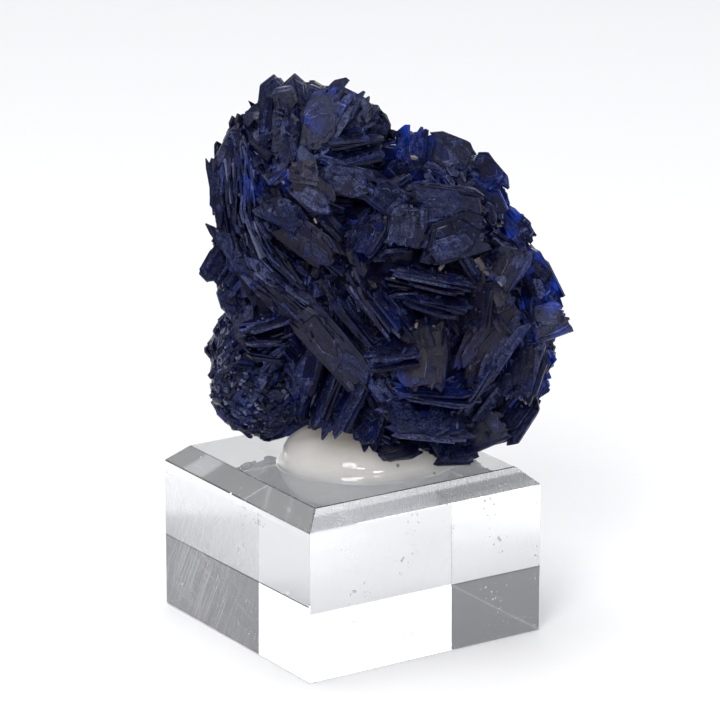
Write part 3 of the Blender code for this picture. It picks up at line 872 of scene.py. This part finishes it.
def node(tree, kind, out=None, stops=(), **settings):
    """Adds a shader node and returns one of its outputs: the one named by out, or the first that is in use. A
    setting whose value is a socket is a link. Any other is the value of the input of that name or number, or
    of a property of the node. Stops are a colour ramp's places and colours."""
    made = tree.nodes.new("ShaderNode" + kind)
    for key, value in settings.items():
        place = int(key[1:]) if key[0] == "i" and key[1:].isdigit() else key.replace("_", " ")
        if isinstance(value, bpy.types.NodeSocket):
            tree.links.new(value, made.inputs[place])
        elif isinstance(place, int) or place in made.inputs:
            made.inputs[place].default_value = value
        else:
            setattr(made, key, value)
    if stops:
        points = made.color_ramp.elements
        while len(points) < len(stops):
            points.new(0.5)
        for point, (place, colour) in zip(points, stops):
            point.position = place
            point.color = colour
    return made.outputs[out] if out else next(socket for socket in made.outputs if socket.enabled)


def new_material(name, **sockets):
    """A Principled material with constants set straight on the shader."""
    made = bpy.data.materials.new(name)
    made.use_nodes = True
    shader = made.node_tree.nodes["Principled BSDF"]
    for key, value in sockets.items():
        shader.inputs[key.replace("_", " ")].default_value = value
    return made, made.node_tree, shader


def drive(shader, **sockets):
    """Links patterns to the shader's sockets."""
    for key, socket in sockets.items():
        shader.id_data.links.new(socket, shader.inputs[key.replace("_", " ")])


def azurite_material(looks):
    """Azurite, as grown. The broad faces are dull and slightly greasy, striated along the crystal. Light
    through thin rims is painted on as a strong blue glow, and a film of iron turns some faces brown."""
    made, tree, shader = new_material("azurite_as_grown", IOR=1.76, Specular_IOR_Level=0.09)
    place = node(tree, "TexCoord", "Object")
    lie = node(tree, "Attribute", "Vector", attribute_name="lie")
    growth = node(tree, "Attribute", "Color", attribute_name="growth")
    tone, blue, brown = node(tree, "SeparateColor", Color=growth).node.outputs
    # Striae run along the faces and growth layers along the edges, drawn 0.3 mm apart so that they show
    along = node(tree, "Mapping", Vector=lie, Scale=(0.45, 3.2, 8.0))
    striae = node(tree, "TexNoise", Vector=along, Scale=1.0, Detail=4.0, Roughness=0.6)
    # Mottling 0.7 mm across, and clouds of 2.6 mm
    mottle = node(tree, "TexNoise", Vector=place, Scale=1500.0, Detail=5.0, Roughness=0.72)
    cloud = node(tree, "TexNoise", Vector=place, Scale=380.0, Detail=3.0)

    blues = ((0.0, looks["deep"]), (0.55, looks["body"]), (1.0, looks["pale"]))
    deep = node(tree, "ValToRGB", Fac=tone, stops=blues)
    # Each crystal has its own share of greyish film, partly a painted sheen on the palest, uneven over a few
    # tenths of a millimetre
    shares = [(at, (share, share, share, 1.0)) for at, share in FILM_AND_SHEEN_BY_TONE]
    film = node(tree, "ValToRGB", Fac=tone, stops=shares)
    grainy = node(tree, "Math", operation="MULTIPLY_ADD", i0=striae, i1=0.7, i2=mottle)
    uneven_film_and_sheen = node(tree, "MapRange", Value=grainy, From_Min=0.72, From_Max=1.02, To_Min=0.25, To_Max=2.1)
    # Dusty grit 0.2 mm across
    grit = node(tree, "TexNoise", Vector=place, Scale=4200.0, Detail=2.0)
    speckle = node(tree, "MapRange", Value=grit, From_Min=0.38, From_Max=0.66, To_Min=0.45, To_Max=2.1)
    coarse = node(tree, "Math", operation="MULTIPLY", i0=film, i1=uneven_film_and_sheen)
    dust_and_sheen_share = node(tree, "Math", operation="MULTIPLY", use_clamp=True, i0=coarse, i1=speckle)
    dust_and_sheen = node(tree, "Mix", data_type="RGBA", Factor=dust_and_sheen_share, A=deep, B=looks["dust"])
    # The painted blue glow of light through thin crystals is strongest at their rims. They lie where the
    # larger share of the half length or half width nears 1
    across = node(tree, "Attribute", "Vector", attribute_name="across_face")
    sides = node(tree, "SeparateXYZ", Vector=across).node.outputs
    halves = [node(tree, "Math", operation="ABSOLUTE", i0=side) for side in sides[:2]]
    rim = node(tree, "Math", operation="MAXIMUM", i0=halves[0], i1=halves[1])
    rim_share = node(tree, "MapRange", Value=rim, From_Min=0.55, From_Max=1.0)
    glow = node(tree, "Math", operation="MULTIPLY_ADD", i0=rim_share, i1=0.5, i2=0.45)
    patch = node(tree, "MapRange", Value=cloud, From_Min=0.44, From_Max=0.62)
    glow_here = node(tree, "Math", operation="MULTIPLY", i0=glow, i1=patch)
    lit = node(tree, "Math", operation="MULTIPLY", use_clamp=True, i0=glow_here, i1=blue)
    with_glow = node(tree, "Mix", data_type="RGBA", Factor=lit, A=dust_and_sheen, B=looks["glow"])
    stained = node(tree, "Mix", data_type="RGBA", Factor=brown, A=with_glow, B=looks["stain"])
    # Rims are worn pale in broken patches, partly a painted highlight along the edges
    worn_rim = node(tree, "Attribute", "Fac", attribute_name="worn_rim")
    wear_patch = node(tree, "MapRange", Value=cloud, From_Min=0.44, From_Max=0.66, To_Max=0.65)
    broken = node(tree, "MapRange", Value=mottle, From_Min=0.36, From_Max=0.56)
    patchy = node(tree, "Math", operation="MULTIPLY", i0=wear_patch, i1=broken)
    rim_wear_and_highlight_here = node(tree, "Math", operation="MULTIPLY", i0=worn_rim, i1=patchy)
    # The palest few of the small crystals get a painted glint in the worn rims' colour
    glint = node(tree, "MapRange", Value=tone, From_Min=0.96, From_Max=1.02, To_Max=0.65)
    pale_here = node(tree, "Math", operation="MAXIMUM", i0=rim_wear_and_highlight_here, i1=glint)
    # Pale wear, painted edge highlights and painted glints, mixed in
    worn = node(tree, "Mix", data_type="RGBA", Factor=pale_here, A=stained, B=looks["rim"])
    # Pale specks of other minerals, some of them painted glints
    other = node(tree, "Mix", data_type="RGBA", Factor=growth.node.outputs["Alpha"], A=worn, B=looks["speck"])

    gloss = node(tree, "MapRange", Value=mottle, From_Min=0.3, From_Max=0.7, To_Min=0.07, To_Max=0.27)
    relief = node(tree, "Math", operation="MULTIPLY_ADD", i0=striae, i1=0.6, i2=mottle)
    grooves = node(tree, "Bump", Strength=1.0, Distance=0.09 * MM, Height=relief)
    # Pits 0.6 mm apart
    pits = node(tree, "TexVoronoi", Vector=place, Scale=1700.0)
    pitted = node(tree, "Bump", Strength=0.12, Distance=0.06 * MM, Height=pits, Normal=grooves)
    drive(shader, Base_Color=other, Roughness=gloss, Normal=pitted)
    return made


def near_spot(tree, flat, spot, inner, outer, beyond, within):
    """A value that goes from within to beyond as the distance from a spot on the map grows from inner to
    outer, in metres."""
    gap = node(tree, "VectorMath", operation="DISTANCE", i0=flat, i1=(*spot, 0.0))
    return node(tree, "MapRange", Value=gap, From_Min=inner, From_Max=outer, To_Min=within, To_Max=beyond)


def acrylic(name, looks, base, rough, clear):
    """Acrylic with handling scratches and dust that lie in its faces, by the map face_metres. Base is the
    roughness between the scratches, rough adds to it in them, and clear is how much light goes through."""
    made, tree, shader = new_material(name, IOR=1.49, Base_Color=looks["acrylic"], Transmission_Weight=clear)
    flat = node(tree, "UVMap", uv_map="face_metres")
    # Scratches a few hundredths of a millimetre wide, drawn wider so that they show. Those of the first
    # direction are a dense brushing of hairlines where the block was handled
    handled = near_spot(tree, flat, HANDLED_AT, 0.004, 0.016, 0.03, 0.32)
    fields = []
    for turn, width in SCRATCHES:
        lie = {"Rotation": (0.0, 0.0, turn), "Scale": (SCRATCH_LENGTH, width, 1.0)}
        along = node(tree, "Mapping", vector_type="TEXTURE", Vector=flat, **lie)
        fields.append(node(tree, "TexNoise", noise_dimensions="2D", Vector=along, Scale=1.0, Detail=0.0))
    deepest = node(tree, "Math", operation="MULTIPLY_ADD", i0=handled, i1=0.36, i2=fields[0])
    for field in fields[1:]:
        deepest = node(tree, "Math", operation="MAXIMUM", i0=deepest, i1=field)
    lines = node(tree, "MapRange", Value=deepest, From_Min=0.60, From_Max=0.85)
    wear = node(tree, "Math", operation="MULTIPLY", i0=lines, i1=handled)
    scuffed = node(tree, "Math", operation="MULTIPLY_ADD", i0=wear, i1=rough, i2=base)
    # Dust and small chips a millimetre apart, in crowds 6 mm across, most of them near one corner
    cells = node(tree, "TexVoronoi", voronoi_dimensions="2D", Vector=flat, Scale=1050.0)
    crowd = node(tree, "TexNoise", noise_dimensions="2D", Vector=flat, Scale=160.0, Detail=1.0)
    chipped = near_spot(tree, flat, CHIPPED_AT, 0.001, 0.007, 0.0, 0.12)
    most = node(tree, "Math", operation="ADD", i0=crowd, i1=chipped)
    reach = node(tree, "MapRange", Value=most, From_Min=0.68, From_Max=0.82, To_Max=0.22)
    dust = node(tree, "Math", operation="LESS_THAN", i0=cells, i1=reach)
    clouded = node(tree, "Math", operation="MAXIMUM", i0=dust, i1=wear)
    through = node(tree, "MapRange", Value=clouded, To_Min=clear, To_Max=0.4)
    drive(shader, Roughness=scuffed, Transmission_Weight=through)
    return made


def acrylic_material(looks):
    """Cast acrylic, sawn and polished: water clear, with fine handling scratches on its faces."""
    return acrylic("cast_acrylic", looks, 0.0, 0.10, 1.0)


def satin_material(looks):
    """Cast acrylic, its bevels milled and flame finished to a light satin."""
    return acrylic("cast_acrylic_satin", looks, 0.08, 0.35, 0.74)


def glue_material(looks):
    """Hot-melt glue, set from a melt: milky and translucent, with a smooth glossy skin."""
    made, tree, shader = new_material("hot_melt_glue", IOR=1.48, Roughness=0.05, **MILK)
    place = node(tree, "TexCoord", "Object")
    # Haze in clouds of 4 mm
    haze = node(tree, "TexNoise", Vector=place, Scale=260.0, Detail=3.0)
    milk = node(tree, "ValToRGB", Fac=haze, stops=((0.3, looks["glue"]), (0.75, looks["glue_pale"])))
    # Motes of dirt on and under the skin, 3 mm apart
    cells = node(tree, "TexVoronoi", Vector=place, Scale=330.0)
    mote = node(tree, "MapRange", Value=cells, From_Min=0.05, From_Max=0.09, To_Min=0.7, To_Max=0.0)
    dirty = node(tree, "Mix", data_type="RGBA", Factor=mote, A=milk, B=looks["stain"])
    drive(shader, Base_Color=dirty)
    return made


def paper_material(looks):
    """White photographic paper, matt."""
    return new_material("white_paper", Roughness=0.9, Base_Color=looks["paper"])[0]


def mounted(name, build):
    """The named material, made once from the scene's colours, turned linear."""
    group = bpy.context.scene.azurite_looks
    looks = {key: linear(getattr(group, key)) for key in AzuriteLooks.__annotations__}
    return bpy.data.materials.get(name) or build(looks)


# Settings that a user would change


class AzuriteLooks(bpy.types.PropertyGroup):
    """Colours of the specimen and its mount, as sRGB hex values."""

    deep: StringProperty(name="Deep blue", description="Darkest crystals", default="#00011C")
    body: StringProperty(name="Body blue", description="Most crystals", default="#010424")
    pale: StringProperty(name="Pale blue", description="Palest crystals", default="#040A36")
    dust: StringProperty(name="Dusty film", description="Greyish film on weathered faces", default="#434B70")
    glow: StringProperty(name="Thin blue", description="Light through thin crystals", default="#1E44BC")
    rim: StringProperty(name="Worn rims", description="Pale worn rims of the plates", default="#7D849A")
    speck: StringProperty(name="Specks", description="Pale specks of other minerals", default="#BFB2A6")
    stain: StringProperty(name="Iron stain", description="Brown film of iron", default="#2B2628")
    acrylic: StringProperty(name="Acrylic", description="Body of the clear block", default="#FCFDFE")
    glue: StringProperty(name="Glue", description="Milky glue where it is thick", default="#DBD4CC")
    glue_pale: StringProperty(name="Pale glue", description="Milky glue where it is thin", default="#E6DED6")
    paper: StringProperty(name="Floor", description="White paper under the block", default="#F6F6F7")


class AzuriteSizes(bpy.types.PropertyGroup):
    """Sizes that shape the growth and the mount."""

    seed: IntProperty(name="Seed", description="Picks another growth of crystals", default=7, min=0)
    blade_reach: FloatProperty(
        name="Blade reach",
        description="How far the blades stand out, as a share of their usual reach",
        default=1.0,
        min=0.2,
        max=2.0,
    )
    edge_break: FloatProperty(
        name="Edge break",
        description="Width of the block's broken edges",
        default=0.08 * MM,
        min=0.0,
        unit="LENGTH",
    )


def stream(offset):
    """Random numbers for one group of pieces, from the user's seed."""
    return np.random.RandomState(bpy.context.scene.azurite_sizes.seed + offset)


# Operators, one for each piece or group of like pieces


class AZURITE_OT_plates(bpy.types.Operator):
    """Grow the main plates of the display side, each a book of thin leaves"""

    bl_idname = "azurite.plates"
    bl_label = "Main plates"

    def execute(self, context):
        growth = Growth(broad_crystals(), stream(0))
        grow_plates(growth, plate_layout() + back_layout())
        grow_ribs(growth)
        grow_fans(growth)
        growth.build("azurite_plates")
        return {"FINISHED"}


class AZURITE_OT_blades(bpy.types.Operator):
    """Grow the blades that stand out of every lobe in rosettes"""

    bl_idname = "azurite.blades"
    bl_label = "Blades"

    def execute(self, context):
        growth = Growth(plain_crystals(), stream(1))
        grow_cover(growth, LOBES, BLADES, context.scene.azurite_sizes.blade_reach)
        growth.build("azurite_blades")
        return {"FINISHED"}


class AZURITE_OT_small(bpy.types.Operator):
    """Fill the gaps with small crystals"""

    bl_idname = "azurite.small"
    bl_label = "Small crystals"

    def execute(self, context):
        random = stream(2)
        kinds = plain_crystals()
        upper = Growth(kinds, random)
        grow_cover(upper, LOBES[:3], SMALL)
        grow_crumbs(upper, plate_layout())
        grow_specks(upper)
        upper.build("azurite_small_upper")
        lower = Growth(kinds, random)
        grow_cover(lower, LOBES[3:], SMALL)
        lower.build("azurite_small_lower")
        return {"FINISHED"}


class AZURITE_OT_grains(bpy.types.Operator):
    """Crust the lobes with the finest grains"""

    bl_idname = "azurite.grains"
    bl_label = "Fine grains"

    def execute(self, context):
        growth = Growth(chips(), stream(3))
        grow_cover(growth, LOBES, GRAINS)
        growth.build("azurite_grains")
        return {"FINISHED"}


def add_modifier(obj, kind, **settings):
    """Adds a modifier and applies it."""
    modifier = obj.modifiers.new(kind, kind)
    for key, value in settings.items():
        setattr(modifier, key, value)
    bpy.ops.object.modifier_apply(modifier=modifier.name)


class AZURITE_OT_core(bpy.types.Operator):
    """Shape the dark core that the crystals grow from"""

    bl_idname = "azurite.core"
    bl_label = "Core"

    def execute(self, context):
        bpy.ops.object.select_all(action="DESELECT")
        made = []
        for lobe in LOBES:
            middle = [c * MM for c in lobe.centre]
            bpy.ops.mesh.primitive_ico_sphere_add(subdivisions=4, radius=1.0, location=middle)
            ball = bpy.context.object
            ball.scale = [(r - CORE_SUNK) * MM for r in lobe.radii]
            made.append(ball)
        for ball in made:
            ball.select_set(True)
        bpy.context.view_layer.objects.active = made[0]
        bpy.ops.object.join()
        core = bpy.context.object
        bpy.ops.object.transform_apply(location=True, rotation=True, scale=True)
        core.name = core.data.name = "azurite_core"
        add_modifier(core, "REMESH", mode="VOXEL", voxel_size=0.55 * MM)
        cells = bpy.data.textures.new("growth_cells", "VORONOI")
        cells.noise_scale = 1.6 * MM
        rough = {"texture": cells, "texture_coords": "LOCAL", "strength": 0.9 * MM, "mid_level": 0.6}
        add_modifier(core, "DISPLACE", **rough)
        add_modifier(core, "DECIMATE", ratio=0.35)
        mesh = core.data
        points = np.array([v.co for v in mesh.vertices]) / MM
        out = np.array([v.normal for v in mesh.vertices])
        points = points - out * hollow_depth(points)[:, None]
        points[:, 2] = np.maximum(points[:, 2], LOWEST)
        mesh.vertices.foreach_set("co", to_row_frame(points).astype(np.float32).ravel())
        mesh.update()
        set_attribute(mesh, "lie", "FLOAT_VECTOR", "POINT", points)
        set_attribute(mesh, "growth", "FLOAT_COLOR", "POINT", np.tile(CORE_TINT, len(points)))
        finish_piece(core, "azurite", "azurite_cluster", mounted("azurite_as_grown", azurite_material))
        return {"FINISHED"}


def map_faces(mesh):
    """Lays the block's faces flat on the map face_metres, in metres, each side on its own part of it."""
    metres = mesh.uv_layers.new(name="face_metres")
    for face in mesh.polygons:
        n = face.normal
        across = Vector((0, 0, 1)).cross(n) if abs(n.z) < 0.9 else Vector((1, 0, 0))
        across.normalize()
        down = n.cross(across)
        apart = SIDES_APART * (n.x - n.y) * (2.0 if n.x + n.y > 0.5 else 1.0)
        for loop in face.loop_indices:
            place = mesh.vertices[mesh.loops[loop].vertex_index].co
            metres.data[loop].uv = (place.dot(across) + apart, place.dot(down))


class AZURITE_OT_block(bpy.types.Operator):
    """Cut and polish the acrylic block, with its edges just broken"""

    bl_idname = "azurite.block"
    bl_label = "Acrylic block"

    def execute(self, context):
        low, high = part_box("acrylic_block")
        bpy.ops.object.select_all(action="DESELECT")
        bpy.ops.mesh.primitive_cube_add(size=1.0)
        block = bpy.context.object
        block.name = block.data.name = "display_block"
        side, waist = high.x - low.x, high.z - BEVEL_DOWN
        bpy.ops.object.mode_set(mode="EDIT")
        bpy.ops.mesh.select_all(action="SELECT")
        bpy.ops.transform.resize(value=(side, side, waist))
        bpy.ops.transform.translate(value=(0, 0, waist / 2))
        select(block, "faces", lambda face: face.normal.z > 0.9)
        bpy.ops.mesh.extrude_region_move(TRANSFORM_OT_translate={"value": (0, 0, BEVEL_DOWN)})
        share = 1.0 - 2.0 * BEVEL_IN / side
        bpy.ops.transform.resize(value=(share, share, 1.0), center_override=(0, 0, high.z))
        bpy.ops.mesh.select_all(action="SELECT")
        bpy.ops.mesh.bevel(offset=context.scene.azurite_sizes.edge_break, segments=1, affect="EDGES")
        bpy.ops.mesh.normals_make_consistent(inside=False)
        bpy.ops.object.mode_set(mode="OBJECT")
        clear = mounted("cast_acrylic", acrylic_material)
        satin = mounted("cast_acrylic_satin", satin_material)
        finish_piece(block, "acrylic", "acrylic_block", clear, satin)
        # The broad sloping faces are satin
        for face in block.data.polygons:
            face.material_index = int(0.3 < face.normal.z < 0.9 and face.area > 1e-5)
        map_faces(block.data)
        return {"FINISHED"}


class AZURITE_OT_glue(bpy.types.Operator):
    """Set the bead of glue under the specimen"""

    bl_idname = "azurite.glue"
    bl_label = "Glue"

    def execute(self, context):
        bpy.ops.object.select_all(action="DESELECT")
        bpy.ops.mesh.primitive_uv_sphere_add(segments=96, ring_count=48, radius=1.0)
        glue = bpy.context.object
        glue.name = glue.data.name = "set_glue"
        points = np.array([v.co for v in glue.data.vertices])
        flat = np.linalg.norm(points[:, :2], axis=1)
        angle = np.arctan2(points[:, 1], points[:, 0])
        wander = 1.0 + 0.012 * np.sin(3 * angle + 0.7) + 0.010 * np.sin(5 * angle + 2.1)
        upper = points[:, 2] > 1e-6
        share = np.where(points[:, 2] >= 0, flat, 0.97 * flat)
        height = GLUE_HEIGHT * np.sqrt(np.clip(1.0 - (share / SKIRT_FROM) ** 3.4, 0.0, 1.0))
        # The skin ripples a little
        ripple = 0.022 * np.sin(7 * angle + 9.0 * share) + 0.018 * np.sin(4 * angle - 16.0 * share)
        height = height * (1.0 + ripple)
        # The foot spreads on the block as a thin skirt, and the middle rises to a point inside the specimen
        slope = (1.0 - share) / (1.0 - SKIRT_FROM)
        height = np.maximum(height, SKIRT_HEIGHT * slope).clip(0.0, None) * upper
        skirt = SKIRT_HEIGHT * np.clip(slope, 0.0, 1.0) ** 0.5
        height = np.where(upper & (share > SKIRT_FROM), skirt, height)
        reach = share * wander
        across, deep = GLUE_HALF_WIDTH * reach * np.cos(angle), GLUE_HALF_DEPTH * reach * np.sin(angle)
        placed = to_row_frame(np.stack((across, deep, height + 0.02), axis=1) + np.array(GLUE_AT))
        glue.data.vertices.foreach_set("co", placed.astype(np.float32).ravel())
        glue.data.update()
        bpy.ops.object.shade_smooth()
        finish_piece(glue, "set_glue", "glue_bead", mounted("hot_melt_glue", glue_material))
        return {"FINISHED"}


def add_camera(scene):
    """The camera, a little above the block and in front of its near corner."""
    back = Vector((-0.5236, -0.8019, 0.2877)).normalized()
    right = Vector((0.8373, -0.5467, 0.0)).normalized()
    up = back.cross(right)
    lens = bpy.data.cameras.new("display_camera")
    lens.lens = 206.1
    lens.sensor_width = 36.0
    lens.clip_end = 20.0
    camera = bpy.data.objects.new("display_camera", lens)
    scene.collection.objects.link(camera)
    turn = Matrix((right, up, back)).transposed().to_4x4()
    camera.matrix_world = Matrix.Translation((-0.2506, -0.3857, 0.1699)) @ turn
    scene.camera = camera


def add_studio(scene):
    """The room that lights the specimen and shows in it: a white backdrop opposite the camera up to some 30
    degrees, a grey wall above it, and a room beside and behind the camera, grey low down and dark above."""
    world = bpy.data.worlds.new("studio")
    world.use_nodes = True
    scene.world = world
    tree = world.node_tree
    way = node(tree, "TexCoord", "Generated")
    facing = node(tree, "VectorMath", operation="DOT_PRODUCT", i0=way, i1=(0.547, 0.837, 0.0))
    round_share = node(tree, "Math", operation="MULTIPLY_ADD", i0=facing, i1=0.5, i2=0.5)
    upward = node(tree, "SeparateXYZ", "Z", Vector=way)
    room = node(tree, "ValToRGB", Fac=upward, stops=ROOM_LIGHT)
    far = node(tree, "MapRange", Value=round_share, From_Min=0.45, From_Max=0.60)
    above = node(tree, "MapRange", Value=upward, From_Min=0.35, From_Max=0.60)
    wall_here = node(tree, "Math", operation="MULTIPLY", i0=far, i1=above)
    wall = node(tree, "Mix", data_type="RGBA", Factor=wall_here, A=room, B=WALL_LIGHT)
    opposite = node(tree, "MapRange", Value=round_share, From_Min=0.70, From_Max=0.86)
    low = node(tree, "MapRange", Value=upward, From_Min=0.42, From_Max=0.64, To_Min=1.0, To_Max=0.0)
    white_here = node(tree, "Math", operation="MULTIPLY", i0=opposite, i1=low)
    shade = node(tree, "Mix", data_type="RGBA", Factor=white_here, A=wall, B=BACKDROP_LIGHT)
    seen = node(tree, "LightPath", "Is Camera Ray")
    clean = node(tree, "Mix", data_type="RGBA", Factor=seen, A=shade, B=(1.0, 1.0, 1.0, 1.0))
    tree.links.new(clean, tree.nodes["Background"].inputs["Color"])


def add_lamps(scene):
    """The studio's lamps, each turned to the middle of the specimen's foot."""
    for name, place, wide, high, power in LAMPS:
        lamp = bpy.data.lights.new(name, "AREA")
        lamp.shape = "RECTANGLE"
        lamp.size = wide
        lamp.size_y = high
        lamp.energy = power
        holder = bpy.data.objects.new(name, lamp)
        scene.collection.objects.link(holder)
        way = Vector((0.0, 0.0, 0.03)) - Vector(place)
        holder.matrix_world = Matrix.Translation(place) @ way.to_track_quat("-Z", "Y").to_matrix().to_4x4()


class AZURITE_OT_stage(bpy.types.Operator):
    """Set up the paper floor, the soft studio light and the camera"""

    bl_idname = "azurite.stage"
    bl_label = "Stage"

    def execute(self, context):
        bpy.ops.object.select_all(action="DESELECT")
        bpy.ops.mesh.primitive_plane_add(size=6.0, location=(0, 0, -0.05 * MM))
        floor = context.object
        floor.name = "paper_floor"
        floor.data.materials.append(mounted("white_paper", paper_material))
        add_camera(context.scene)
        add_studio(context.scene)
        add_lamps(context.scene)
        context.scene.view_settings.view_transform = "Standard"
        return {"FINISHED"}


class AZURITE_PT_panel(bpy.types.Panel):
    """Lists the pieces and the settings"""

    bl_label = "Azurite specimen"
    bl_idname = "AZURITE_PT_panel"
    bl_space_type = "VIEW_3D"
    bl_region_type = "UI"
    bl_category = "Azurite"

    def draw(self, context):
        for made in OPERATORS:
            self.layout.operator(made.bl_idname)
        for key in AzuriteLooks.__annotations__:
            self.layout.prop(context.scene.azurite_looks, key)
        for key in AzuriteSizes.__annotations__:
            self.layout.prop(context.scene.azurite_sizes, key)


OPERATORS = (
    AZURITE_OT_stage,
    AZURITE_OT_block,
    AZURITE_OT_glue,
    AZURITE_OT_core,
    AZURITE_OT_plates,
    AZURITE_OT_blades,
    AZURITE_OT_small,
    AZURITE_OT_grains,
)
CLASSES = (AzuriteLooks, AzuriteSizes, *OPERATORS, AZURITE_PT_panel)


def register():
    for made in CLASSES:
        bpy.utils.register_class(made)
    bpy.types.Scene.azurite_looks = PointerProperty(type=AzuriteLooks)
    bpy.types.Scene.azurite_sizes = PointerProperty(type=AzuriteSizes)


def unregister():
    del bpy.types.Scene.azurite_sizes
    del bpy.types.Scene.azurite_looks
    for made in reversed(CLASSES):
        bpy.utils.unregister_class(made)


def main():
    register()
    for made in OPERATORS:
        group, name = made.bl_idname.split(".")
        getattr(getattr(bpy.ops, group), name)()


if __name__ == "__main__":
    main()
